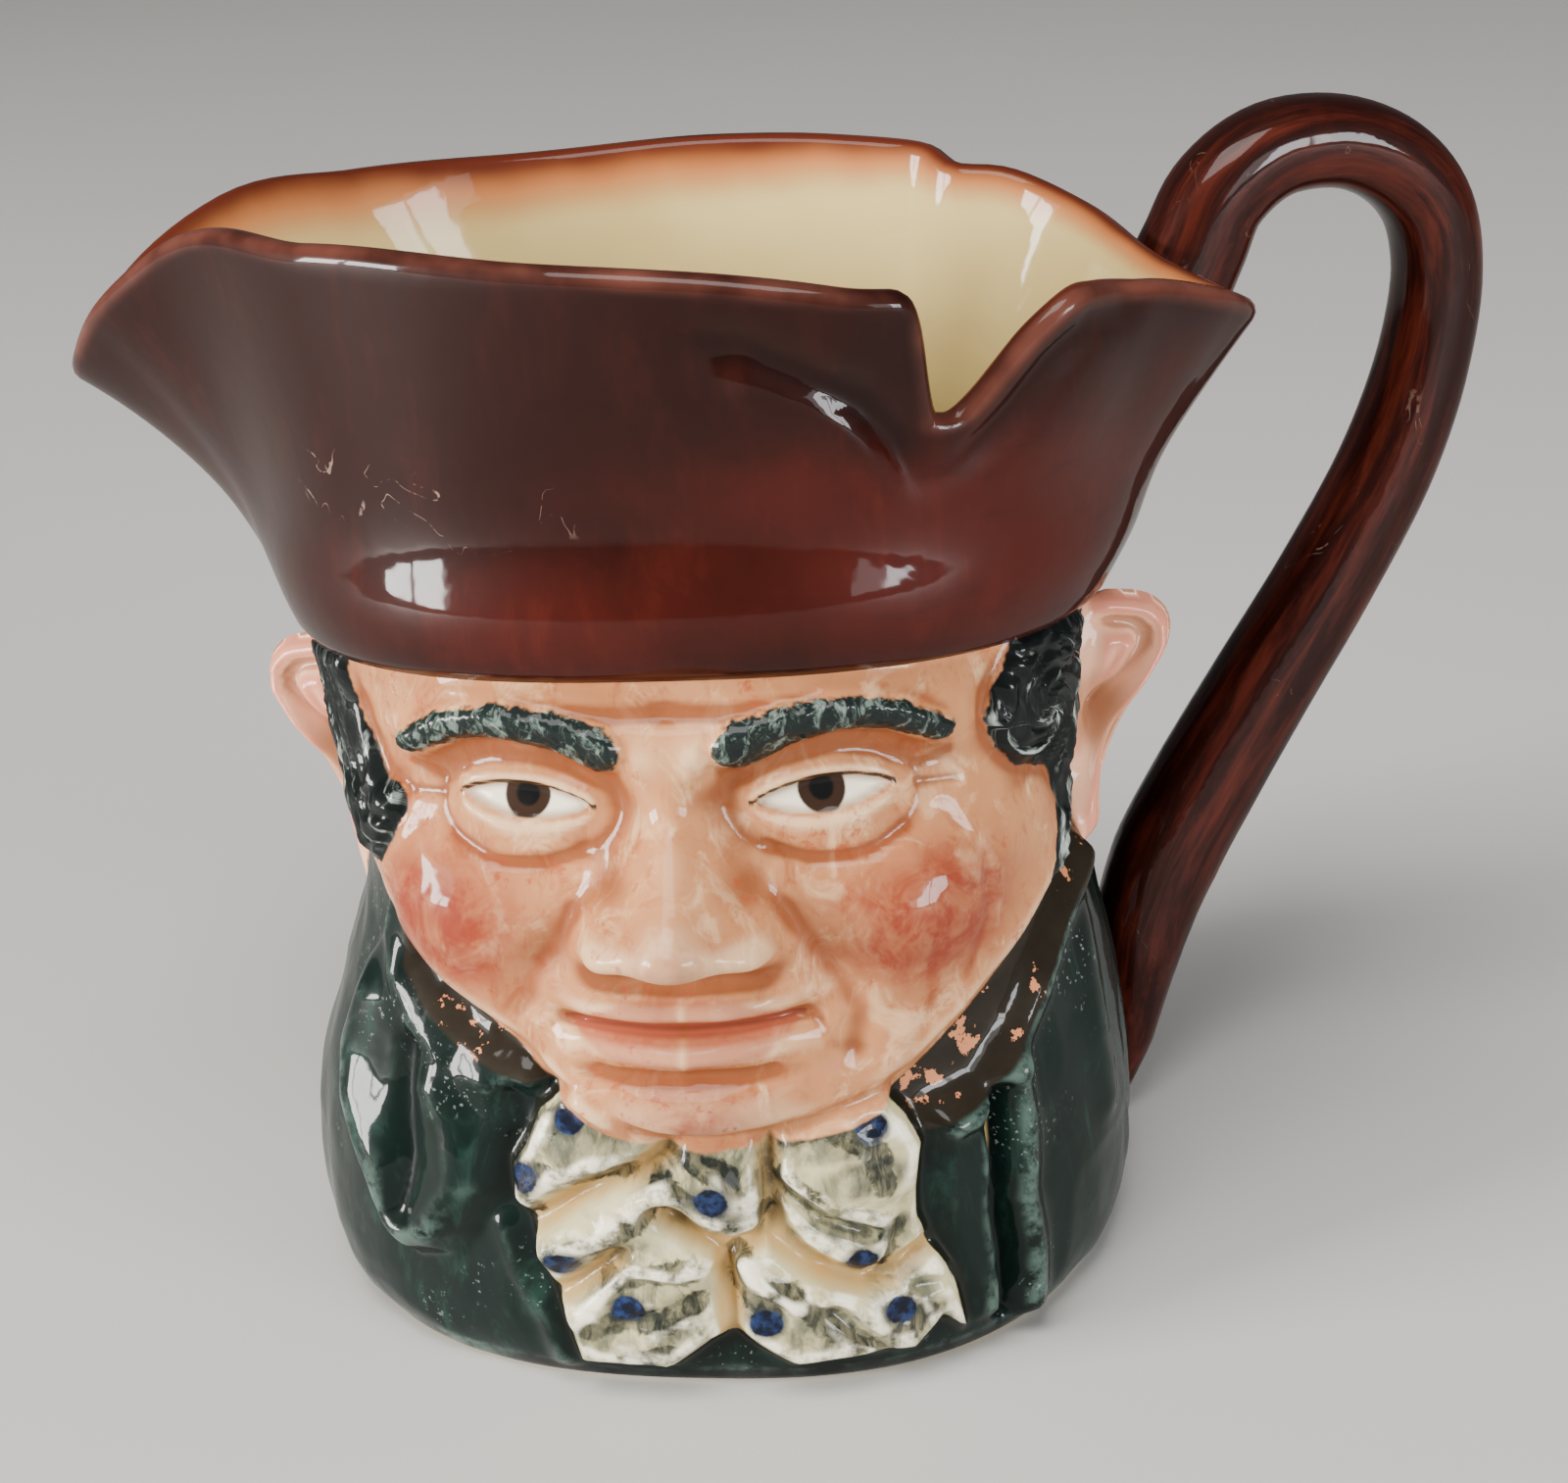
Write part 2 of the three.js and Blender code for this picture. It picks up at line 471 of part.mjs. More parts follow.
function shellRings(count) {
  const angles = columnAngles(count);
  const rims = angles.map(rimAngle);
  const rings = [];
  const add = (make) => rings.push(angles.map(make));
  const rowHeight = (t, z) => (z < 60 ? z : 60 + (z - 60) * (hatEdge(t) - 60) / (91.5 - 60));
  add((t) => place(t, bodyRadius(t, 0) - FOOT_BEVEL, 0));
  for (const row of BODY_ROWS) {
    add((t) => {
      const z = rowHeight(t, row);
      return place(t, bodyRadius(t, z) + bodyRelief(t, z), z);
    });
  }
  add((t) => place(t, bodyRadius(t, hatEdge(t)) + 0.2, hatEdge(t) - 0.1));
  add((t) => {
    const edge = hatEdge(t);
    return place(t, bodyRadius(t, edge) + HAT_PROUD + hatRoll(t, 0) - 0.5, edge + 0.1);
  });
  for (let k = 0; k <= HAT_ROWS; k += 1) {
    const h = k === 0 ? 0.035 : k / HAT_ROWS;
    rings.push(angles.map((t, j) => hatPoint(lerp(t, rims[j], h), hatRowHeight(t, rims[j], h))));
  }
  const rim = rings[rings.length - 1];
  const frames = rim.map((p, j) => {
    const before = rim[(j + count - 1) % count];
    const after = rim[(j + 1) % count];
    const along = after.clone().sub(before).normalize();
    const out = hatNormal(rims[j], p.z);
    out.addScaledVector(along, -out.dot(along)).normalize();
    return { out, up: out.clone().cross(along) };
  });
  for (let k = 1; k <= LIP_STEPS; k += 1) {
    const a = Math.PI * k / LIP_STEPS;
    rings.push(rim.map((p, j) => p.clone()
      .addScaledVector(frames[j].out, LIP * (Math.cos(a) - 1))
      .addScaledVector(frames[j].up, LIP * Math.sin(a))));
  }
  for (const h of INNER_HAT_STEPS) {
    rings.push(angles.map((t, j) => {
      const a = lerp(t, rims[j], h);
      const z = hatRowHeight(t, rims[j], h);
      const thick = lerp(WALL, 2 * LIP, smooth(0.3, 1, h));
      return hatPoint(a, z).addScaledVector(hatNormal(a, z), -thick);
    }));
  }
  for (const z of INNER_ROWS) {
    add((t) => place(t, innerRadius(t, z), z));
  }
  add((t) => place(t, innerRadius(t, FLOOR) - 0.5, FLOOR));
  return rings;
}

function hatRowHeight(t, rimT, h) {
  return lerp(hatEdge(t), rimHeight(rimT), h);
}

function innerRadius(t, z) {
  const edge = hatEdge(t);
  const proud = (HAT_PROUD + hatRoll(t, 0)) * smooth(edge - 22, edge, z);
  const plain = bodyRadius(t, z) + proud - WALL;
  const low = Math.max(0, FLOOR + FLOOR_CURVE - z);
  return plain - (FLOOR_CURVE - Math.sqrt(Math.max(0, FLOOR_CURVE * FLOOR_CURVE - low * low)));
}

// joins rings of points into a closed surface; the first and last rings close on a centre point
function latticeGeometry(rings) {
  const count = rings[0].length;
  const points = [];
  const faces = [];
  for (const ring of rings) {
    for (const p of ring) {
      points.push(p.x, p.y, p.z);
    }
  }
  for (let k = 0; k < rings.length - 1; k += 1) {
    for (let j = 0; j < count; j += 1) {
      const a = k * count + j;
      const b = k * count + (j + 1) % count;
      faces.push(a, b, b + count, a, b + count, a + count);
    }
  }
  const ends = [rings[0], rings[rings.length - 1]];
  ends.forEach((ring, end) => {
    const mid = new THREE.Vector3();
    ring.forEach((p) => mid.add(p));
    mid.divideScalar(count);
    const centre = points.length / 3;
    points.push(mid.x, mid.y, mid.z);
    const start = end === 0 ? 0 : (rings.length - 1) * count;
    for (let j = 0; j < count; j += 1) {
      const a = start + j;
      const b = start + (j + 1) % count;
      faces.push(...(end === 0 ? [centre, b, a] : [centre, a, b]));
    }
  });
  const geometry = new THREE.BufferGeometry();
  geometry.setAttribute('position', new THREE.Float32BufferAttribute(points, 3));
  geometry.setIndex(faces);
  return geometry;
}

// ---------------------------------------------------------------- ears
function earFace(out, up) {
  const edge = insideBy(out, up, EAR_OUT.map((v, i) => [v, EAR_UP[i]]));
  const high = smooth(54, 60, up);
  let h = 1.9 * smooth(0, 1.9, edge);
  h += 0.9 * bell(edge, 1.9, 1.1) * smooth(-1, 3, out) * high;
  h -= 1.5 * bell(edge, 4.4, 1.2) * smooth(58, 66, up) * smooth(1, 5, out);
  h += 0.9 * bell(edge, 6.4, 1.2) * smooth(62, 68, up) * smooth(1, 5, out);
  h -= mound(out, up, 3.4, 68.5, 3, 5.6, 3.2);
  h += mound(out, up, 0.2, 65.5, 1.8, 2.6, 1.8);
  return h + mound(out, up, 2.6, 54.5, 3, 3.6, 1.2);
}

function earBack(out, up) {
  const edge = insideBy(out, up, EAR_OUT.map((v, i) => [v, EAR_UP[i]]));
  return EAR_THICK * smooth(-0.2, 4.5, edge) - 0.2;
}

// one ear as a pillow: middle of the front, out to the outline, round and back to the middle behind
function earRings(side, count, rows) {
  const corners = EAR_OUT.map((v, i) => new THREE.Vector3(v, EAR_UP[i], 0));
  const outline = new THREE.CatmullRomCurve3(corners, true, 'catmullrom', 0.5);
  const edge = outline.getSpacedPoints(count).slice(0, count);
  const middle = new THREE.Vector3(3.4, 69, 0);
  const rings = [];
  for (let k = 0; k < rows * 2; k += 1) {
    const front = k < rows;
    const part = front ? (k + 0.35) / (rows - 0.3) : (rows * 2 - k - 0.65) / (rows - 0.3);
    const s = Math.min(1, Math.max(0.04, part));
    rings.push(edge.map((p) => {
      const out = lerp(middle.x, p.x, s);
      const up = lerp(middle.y, p.y, s);
      const off = front ? earFace(out, up) : -earBack(out, up);
      return earPoint(side, out, up, off);
    }));
  }
  return side < 0 ? rings : rings.map((ring) => ring.slice().reverse());
}

function earPoint(side, out, up, off) {
  const t = rad(EAR_AT);
  const sweep = rad(EAR_SWEEP);
  const high = EAR_LOW + EAR_SIZE * (up - 48.8);
  const root = bodyRadius(side * t, high) + 0.4;
  const lean = 0.32 * (up - 66);
  const drop = side < 0 ? EAR_LEFT_DROP : 0;
  const away = side < 0 ? out + EAR_LEFT_LEAN * (smooth(50, 78, up) - 0.55) : out;
  const x = root * Math.sin(t) + away * Math.cos(sweep) + off * Math.sin(sweep);
  const y = -root * Math.cos(t) + 2.4 + away * Math.sin(sweep) - off * Math.cos(sweep) + lean;
  const p = new THREE.Vector3(side * x, y, high - drop);
  return keepOut(p);
}

// points meant to sit inside the wall are held at mid wall, clear of the hollow
function keepOut(p) {
  const t = Math.atan2(p.x, -p.y);
  const r = Math.hypot(p.x, p.y);
  const edge = hatEdge(t);
  const plain = p.z < edge ? bodyRadius(t, p.z) : hatRadius(t, p.z);
  const least = plain - WALL * 0.45;
  if (r >= least) {
    return p;
  }
  return place(t, least, p.z);
}

// ---------------------------------------------------------------- handle
function handleRings(count, steps) {
  const t = rad(HANDLE_AT);
  const across = new THREE.Vector3(Math.cos(t), Math.sin(t), 0);
  const stations = HANDLE_OUT.map((r, i) => place(t, r, HANDLE_UP[i]));
  const path = new THREE.CatmullRomCurve3(stations, false, 'centripetal');
  const last = HANDLE_OUT.length - 1;
  const rings = [];
  for (let k = 0; k <= steps; k += 1) {
    const s = k / steps;
    const p = path.getPoint(s);
    const along = path.getTangent(s);
    const out = across.clone().cross(along).normalize();
    const i = Math.min(last - 1, Math.floor(s * last));
    const wide = lerp(HANDLE_WIDE[i], HANDLE_WIDE[i + 1], s * last - i) / 2;
    const deep = Math.min(HANDLE_DEEP / 2, wide * 1.05) + 1.4 * smooth(0.1, 0, s);
    rings.push(Array.from({ length: count }, (unused, j) => {
      const a = TURN * j / count;
      const c = Math.cos(a);
      const d = Math.sin(a);
      const round = (Math.abs(c) ** 2.3 + Math.abs(d) ** 2.3) ** (-1 / 2.3);
      return keepOut(p.clone()
        .addScaledVector(out, wide * c * round)
        .addScaledVector(across, deep * d * round));
    }));
  }
  return rings;
}

// ---------------------------------------------------------------- joining
const wasm = await Module();
wasm.setup();

function toSolid(geometry) {
  const bare = geometry.clone();
  bare.deleteAttribute('normal');
  bare.deleteAttribute('uv');
  const merged = mergeVertices(bare, 1e-5);
  const mesh = new wasm.Mesh({
    numProp: 3,
    vertProperties: new Float32Array(merged.attributes.position.array),
    triVerts: new Uint32Array(merged.index.array),
  });
  return new wasm.Manifold(mesh);
}

function toGeometry(solid) {
  const mesh = solid.getMesh();
  const geometry = new THREE.BufferGeometry();
  const points = [];
  for (let i = 0; i < mesh.vertProperties.length; i += mesh.numProp) {
    points.push(mesh.vertProperties[i], mesh.vertProperties[i + 1], mesh.vertProperties[i + 2]);
  }
  geometry.setAttribute('position', new THREE.Float32BufferAttribute(points, 3));
  geometry.setIndex(Array.from(mesh.triVerts));
  geometry.computeVertexNormals();
  return geometry;
}

const shell = toSolid(latticeGeometry(shellRings(COLUMNS)));
const leftEar = toSolid(latticeGeometry(earRings(-1, 18, 4)));
const rightEar = toSolid(latticeGeometry(earRings(1, 18, 4)));
const handle = toSolid(latticeGeometry(handleRings(10, 26)));
const jug = shell.add(leftEar).add(rightEar).add(handle);

const glaze = new THREE.MeshStandardMaterial({ color: 0x6a2f22, roughness: 0.25, metalness: 0 });
glaze.name = 'glazed_earthenware';
const mesh = new THREE.Mesh(toGeometry(jug), glaze);
mesh.name = 'jug';

const part = new THREE.Group();
part.name = 'toby_jug';
part.add(mesh);

export default part;
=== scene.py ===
"""Toby jug: a glazed earthenware jug shaped as a head in a tricorn hat, with coat and spotted cravat.

The head faces -Y, the spout points to -X and the handle stands out to +X. The jug is cast in one
piece, so it is one object here: shell, ears and handle are shaped apart, joined and then painted.
Forms are worked out in millimetres and turned into metres when a mesh is made.
"""

import math

import bpy
import numpy as np
from mathutils import Matrix, Vector


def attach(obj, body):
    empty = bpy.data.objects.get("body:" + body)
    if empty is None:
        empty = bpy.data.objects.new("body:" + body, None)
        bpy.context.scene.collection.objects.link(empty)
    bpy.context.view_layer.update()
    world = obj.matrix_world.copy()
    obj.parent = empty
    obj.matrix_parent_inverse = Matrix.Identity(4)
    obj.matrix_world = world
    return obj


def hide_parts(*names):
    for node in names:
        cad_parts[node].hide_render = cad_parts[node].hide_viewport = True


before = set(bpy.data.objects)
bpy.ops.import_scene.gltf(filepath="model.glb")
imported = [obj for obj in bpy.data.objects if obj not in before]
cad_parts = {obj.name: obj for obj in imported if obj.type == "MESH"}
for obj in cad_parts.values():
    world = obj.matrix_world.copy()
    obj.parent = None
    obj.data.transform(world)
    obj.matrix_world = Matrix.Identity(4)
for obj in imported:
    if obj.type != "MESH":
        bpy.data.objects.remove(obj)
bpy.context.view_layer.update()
MM = 0.001

# ------------------------------------------------------------------ sizes, in millimetres
WALL = 4.6
LIP = 1.7
FLOOR = 6.0
FLOOR_CURVE = 9.0
FOOT_BEVEL = 1.2
SECTION_POWER = 2.35
FACE_ARC = 45.0

BODY_Z = [0, 3, 9, 18, 30, 42, 54, 66, 78, 92]
BODY_HALF = [48, 50.5, 52.5, 52.8, 51.4, 48.2, 44.8, 43.8, 45.2, 47.3]
BODY_FRONT = [45, 46.5, 47.5, 47.5, 46.5, 45, 44, 44, 44, 44]
BODY_BACK = [44, 46, 48, 48.5, 47.5, 46, 44, 43, 43, 43]
BODY_SHIFT = [-2, -2, -2, -2, -1.6, -0.6, 0, 0, 0, 0]
FOOT_BULGE = 2.2

HAT_EDGE = 87.0
HAT_EDGE_TILT = 4.5
HAT_PROUD = 1.6
HAT_ROLL = 3.2
HAT_ROLL_UP = 6.5
SPOUT_KICK = 0.12
RIM_ANGLE = [-180, -150, -125, -108, -97, -88, -79, -70, -45, -15, 10, 29, 50, 66,
             78, 85, 92, 105, 120, 140, 160]
RIM_RADIUS = [46, 50, 58.5, 65.5, 72.5, 77.5, 71.5, 63, 53.5, 49.5, 52, 56.5, 61, 62.5,
              67, 68.6, 65.6, 60, 57, 51, 47]
RIM_HEIGHT = [133.5, 132.6, 133, 132.8, 126.5, 118, 127, 135.5, 139.5, 138.8, 137.3,
              134.6, 131.2, 128.6, 124, 121, 120.8, 122, 126, 131.5, 133.2]
SPOUT_AT = -88
CORNER_AT = 85
NOTCH_AT = 35
NOTCH_DEPTH = 14.2
NOTCH_STEEP = 5.4
NOTCH_RISE = 19.2
NOTCH_SLOPE = 18.0
CREASE_AT = 138
CREASE_LEAN = 7.0
CREASE_DEPTH = 2.2
FOLD_FRONT = [(0, 131.5), (12, 129.5), (20, 126), (27, 122.6), (32, 117.5), (34, 112)]
FOLD_LOW = [(14, 126), (21, 123), (27, 118), (31, 111.5)]
FOLD_SIDE = [(60, 128), (54, 127.5), (49.5, 124), (46, 119), (41, 113.5), (36, 110)]

HANDLE_AT = 112
HANDLE_OUT = [47.8, 55.6, 62.5, 66, 69.5, 76.5, 86, 93.5, 98.5, 100.3, 98.6, 93.6, 85, 75.4,
              67.4, 61.4, 57.8, 56, 54.8, 53.4]
HANDLE_UP = [101, 107.8, 114.5, 120.5, 127, 131.6, 131.8, 128.4, 122.5, 114, 102, 88.5, 74, 60,
             48, 38, 29, 20, 12, 5]
HANDLE_WIDE = [12, 14, 14, 13.4, 12.6, 12, 11.6, 11.6, 11.4, 11.2, 11.6, 12.4, 13, 13.8,
               14.6, 14.8, 13, 10, 7.5, 4]
HANDLE_DEEP = 12.4

EAR_OUT = [-3, -2, 0.4, 2.4, 3.4, 5, 7.6, 11, 13.2, 12.8, 9.4, 3.2, -2, -3, -3, -3]
EAR_UP = [53.5, 50, 48.8, 51, 55.5, 61, 66.5, 71.5, 76, 80.6, 84, 85.6, 85.4, 80, 70, 60]
EAR_LEFT_DROP = 3.0
EAR_LOW = 52.3
EAR_SIZE = 0.83
EAR_LEFT_LEAN = 3.2
EAR_AT = 84
EAR_SWEEP = 24
EAR_THICK = 4.4

# ------------------------------------------------------------------ small helpers
rad = np.radians
deg = np.degrees


def smooth(a, b, x):
    """0 at a, 1 at b, with soft ends; a may be the larger."""
    s = np.clip((x - a) / (b - a), 0, 1)
    return s * s * (3 - 2 * s)


def bell(x, centre, width):
    """A bump of height 1 round a centre."""
    return np.exp(-((x - centre) / width) ** 2)


def wrap(a):
    """An angle brought between half a turn back and half a turn forward."""
    return (a + np.pi) % (2 * np.pi) - np.pi


def lerp(a, b, s):
    """From a to b as s goes from 0 to 1."""
    return a + (b - a) * s


def curve(x, xs, ys):
    """A smooth curve through the points xs, ys, held level past its ends."""
    xs = np.asarray(xs, float)
    ys = np.asarray(ys, float)
    m = np.gradient(ys, xs)
    i = np.clip(np.searchsorted(xs, x) - 1, 0, len(xs) - 2)
    h = xs[i + 1] - xs[i]
    s = np.clip((x - xs[i]) / h, 0, 1)
    v = 1 - s
    return (ys[i] * (1 + 2 * s) * v * v + m[i] * h * s * v * v
            + ys[i + 1] * s * s * (3 - 2 * s) + m[i + 1] * h * s * s * (s - 1))


def round_curve(angle, angles, values):
    """A smooth curve of values at angles in degrees, closed round the full turn."""
    xs = [angles[-2] - 360, angles[-1] - 360, *angles, angles[0] + 360, angles[1] + 360]
    ys = [values[-2], values[-1], *values, values[0], values[1]]
    return curve(deg(wrap(angle)), xs, ys)


def smooth_min(a, b, k):
    """The smaller of two values, with the corner between them rounded over k."""
    h = np.maximum(k - np.abs(a - b), 0) / k
    return np.minimum(a, b) - h * h * k / 4


def to_line(x, y, line):
    """Distance to a broken line, and the place along it from 0 to 1."""
    line = np.asarray(line, float)
    lengths = np.hypot(*np.diff(line, axis=0).T)
    total = lengths.sum()
    best = np.full(np.shape(x), 1e9)
    along = np.zeros(np.shape(x))
    run = 0.0
    for (ax, ay), (bx, by), length in zip(line[:-1], line[1:], lengths):
        dx, dy = bx - ax, by - ay
        s = np.clip(((x - ax) * dx + (y - ay) * dy) / length ** 2, 0, 1)
        d = np.hypot(x - ax - s * dx, y - ay - s * dy)
        near = d < best
        best = np.where(near, d, best)
        along = np.where(near, (run + s * length) / total, along)
        run += length
    return best, along


def inside_by(x, y, outline):
    """Signed distance to a closed outline, positive inside."""
    best = np.full(np.shape(x), 1e9)
    odd = np.zeros(np.shape(x), bool)
    n = len(outline)
    for i in range(n):
        ax, ay = outline[i]
        bx, by = outline[(i + 1) % n]
        dx, dy = bx - ax, by - ay
        s = np.clip(((x - ax) * dx + (y - ay) * dy) / (dx * dx + dy * dy), 0, 1)
        best = np.minimum(best, np.hypot(x - ax - s * dx, y - ay - s * dy))
        if dy:
            cross = ((ay > y) != (by > y)) & (x < ax + dx * (y - ay) / dy)
            odd ^= cross
    return np.where(odd, best, -best)


def stroke(x, y, line, height, width):
    """A ridge (or, with a height below zero, a groove) along a broken line."""
    return height * bell(to_line(x, y, line)[0], 0, width)


def mound(x, y, cx, cy, rx, ry, height):
    """A soft oval mound round a centre."""
    return height * np.exp(-((x - cx) / rx) ** 2 - ((y - cy) / ry) ** 2)


def hashed(i, j, seed):
    """An even spread of values from 0 to 1, the same at each run."""
    v = np.sin(i * 127.1 + j * 311.7 + seed * 74.7) * 43758.5453
    return v - np.floor(v)


def clouds(x, y, size, seed=0):
    """Soft uneven pattern between -1 and 1."""
    u, v = x / size, y / size
    i, j = np.floor(u), np.floor(v)
    a, b = u - i, v - j
    a = a * a * (3 - 2 * a)
    b = b * b * (3 - 2 * b)
    low = lerp(hashed(i, j, seed), hashed(i + 1, j, seed), a)
    high = lerp(hashed(i, j + 1, seed), hashed(i + 1, j + 1, seed), a)
    return 2 * lerp(low, high, b) - 1


# ------------------------------------------------------------------ plain form of body and hat
def section_radius(t, half, front, back):
    """Radius at angle t of a rounded oval with its own depth in front and behind."""
    s, c = np.sin(t), np.cos(t)
    w = smooth(-0.35, 0.35, c)
    depth = front * w + back * (1 - w)
    total = np.abs(s / half) ** SECTION_POWER + np.abs(c / depth) ** SECTION_POWER
    return total ** (-1 / SECTION_POWER)


def body_radius(t, z):
    """Plain outside of head and coat, before any relief."""
    plan = section_radius(t, curve(z, BODY_Z, BODY_HALF), curve(z, BODY_Z, BODY_FRONT),
                          curve(z, BODY_Z, BODY_BACK))
    hem = FOOT_BULGE * bell(deg(wrap(t)), 26, 30) * smooth(14, 2, z)
    return plan + curve(z, BODY_Z, BODY_SHIFT) * np.sin(t) + hem


def hat_edge(t):
    """Height of the hat's lower edge, a little higher in front."""
    return HAT_EDGE + HAT_EDGE_TILT * np.cos(t)


def notch_drop(t):
    """How far the rim falls in the cut, steep on one side and sloping on the other."""
    d = deg(wrap(t - rad(NOTCH_AT)))
    steep = NOTCH_RISE * smooth(-NOTCH_STEEP, 1.6, d) ** 1.3
    slope = NOTCH_RISE * (1 - smooth(-1, NOTCH_SLOPE, d) ** 1.15)
    return np.maximum(0, smooth_min(smooth_min(steep, slope, 3), NOTCH_DEPTH, 4))


def rim_height(t):
    """Height of the rim where its rounded lip begins."""
    back = 1.0 * bell(deg(wrap(t - rad(CREASE_AT + 1))), 0, 3.4)
    return round_curve(t, RIM_ANGLE, RIM_HEIGHT) - LIP - notch_drop(t) - back


def hat_folds(t, z):
    """Soft folds of the brim on both sides of the notch."""
    x = deg(wrap(t))
    h = stroke(x, z, FOLD_FRONT, -1.8, 2.6) * smooth(0, 14, x) + stroke(x, z, FOLD_LOW, 1.3, 2.3)
    h += stroke(x, z, FOLD_SIDE, -1.5, 2.5) + mound(x, z, 25, 130, 5, 4.5, 0.8)
    return h * smooth(108.5, 117, z) + mound(x, z, 57, 119, 9, 8, 0.7)


def hat_roll(t, up):
    """The band of the hat swells just above its lower edge, most of all in front."""
    return HAT_ROLL * bell(up, HAT_ROLL_UP, 7.5) * (0.65 + 0.35 * bell(deg(wrap(t)), 0, 60))


def hat_radius(t, z):
    """Outside of the hat, flaring from its rolled lower band to the rim."""
    rim = round_curve(t, RIM_ANGLE, RIM_RADIUS)
    top = round_curve(t, RIM_ANGLE, RIM_HEIGHT)
    edge = hat_edge(t)
    h = np.clip((z - edge) / (top - edge), 0, 1.1)
    start = body_radius(t, edge) + HAT_PROUD + hat_roll(t, z - edge)
    power = 1.2 + 0.9 * bell(deg(wrap(t)), 12, 34)
    kick = SPOUT_KICK * bell(wrap(t - rad(SPOUT_AT)), 0, rad(30))
    fold = deg(wrap(t - rad(CREASE_AT))) - CREASE_LEAN * (1 - h)
    crease = CREASE_DEPTH * bell(fold, 0, 5) * smooth(0.1, 0.8, h)
    flare = (1 - kick) * h ** power + kick * h ** 6
    return start + (rim - start) * flare - crease + hat_folds(t, z) * smooth(0.25, 0.6, h)


def place(t, r, z):
    """Points from angle, radius and height."""
    return np.stack([r * np.sin(t), -r * np.cos(t), z + 0 * t], -1)


def hat_point(t, z):
    return place(t, hat_radius(t, z), z)


def unit(v):
    return v / np.linalg.norm(v, axis=-1, keepdims=True)


def hat_normal(t, z):
    """Direction that points straight out of the hat's outside."""
    side = hat_point(t + 0.01, z) - hat_point(t - 0.01, z)
    up = hat_point(t, z + 0.3) - hat_point(t, z - 0.3)
    return unit(np.cross(side, up))


# ------------------------------------------------------------------ dress, on the unrolled surface
NECK_ACROSS = [-52, -42, -36.5, -32.5, -28, -24, -19.5, -16, -10, -1, 9, 22, 28.5, 36, 45.5, 56]
NECK_UP = [69, 64, 60, 55.5, 50.5, 47.5, 44.5, 41.5, 37.3, 34.2, 34.6, 38, 42.6, 47.6, 53, 58]
CRAVAT = [(-14.7, 40.7), (-11.7, 41.4), (-8.9, 39.5), (-5.5, 37), (-1.4, 35.2), (4, 34.9),
          (11, 35.9), (15.7, 37.7), (21.2, 38.5), (23.4, 35.2), (24.5, 31.5), (23.6, 26.4),
          (23.4, 22.2), (24.9, 17.8), (27.1, 13), (28, 5.6), (25.3, 8.4), (22, 5), (17, 5.4),
          (9.2, 4.8), (6.9, 6.6), (3.7, 9.2), (0.6, 8.6), (-3.9, 4.8), (-14.1, 4.8), (-14.6, 9),
          (-15.7, 14), (-18.1, 23.7), (-20.1, 27.2), (-20.2, 30.9), (-18.5, 34), (-17.1, 38)]
COLLAR_LEFT = [(-38.5, 60), (-36.4, 55.5), (-35.6, 51), (-32, 47), (-27.7, 44), (-23, 42), (-18.8, 41.4)]
COLLAR_RIGHT = [(59, 54.5), (50, 49.8), (43, 44.6), (39.6, 40.8), (36.4, 37.8), (33.4, 34.6), (27.5, 33)]
LAPEL_LEFT = [(-39, 58), (-35.6, 50), (-32, 45.8), (-27.7, 42.6), (-21.4, 40.6), (-21, 35), (-22, 32),
              (-22.4, 26.3), (-28.6, 17), (-33, 15.6), (-36, 19), (-40, 25.5), (-44, 33),
              (-46.5, 40), (-45, 50)]
LAPEL_RIGHT = [(27.5, 33.5), (32.5, 34), (33.5, 25), (34, 12), (33, 5), (30, 6), (27.4, 14),
               (26, 22), (26.6, 30)]
FOLD_RIGHT = [(34.5, 34), (34.4, 27), (33.4, 20), (34, 13), (34, 5)]
HAIR_LEFT = [(-43, 90), (-41.5, 83.5), (-38.5, 78), (-36.5, 75.4), (-33, 75.2), (-32.4, 72),
             (-35.5, 65.5), (-40, 65), (-46, 67.5), (-52, 76), (-55.5, 90)]
HAIR_RIGHT = [(41.5, 90), (38, 85), (36.5, 80.8), (37.8, 77), (41, 73.6), (47.5, 71), (49.2, 66),
              (48.5, 62), (45.5, 56), (50.5, 56.5), (53.5, 65), (56.5, 75), (57.5, 90)]


# The cravat's deep folds, which are also where its gold wash lies.
FOLD_TOP_LEFT = [(-17.5, 24), (-13.4, 27.5), (-9.9, 29.8), (-6.4, 31.2), (-3, 34)]
KNOT_SIDE = [(8, 35.5), (7.9, 29), (7.8, 23)]
FOLD_ACROSS = [(-4, 26), (0, 22.6), (3.4, 21.2), (7.8, 22.6), (11.3, 18.2), (16.6, 15.4),
               (20, 15.6), (24, 18.2)]
TAIL_PARTING = [(2.3, 20.5), (2.8, 15), (2.7, 8.5)]
FOLD_LOW_LEFT = [(-8.6, 20.6), (-11.4, 18), (-15, 15)]

# Puffs of cloth: centre, half sizes, height.
CRAVAT_PUFFS = [(-12, 34.5, 7, 5, 1.9), (16.5, 30, 7.5, 6.5, 2.1), (2.4, 28.6, 4.6, 5, 2.1),
                (-5, 12, 8, 6, 1.3), (14, 11, 8, 5, 1.3)]
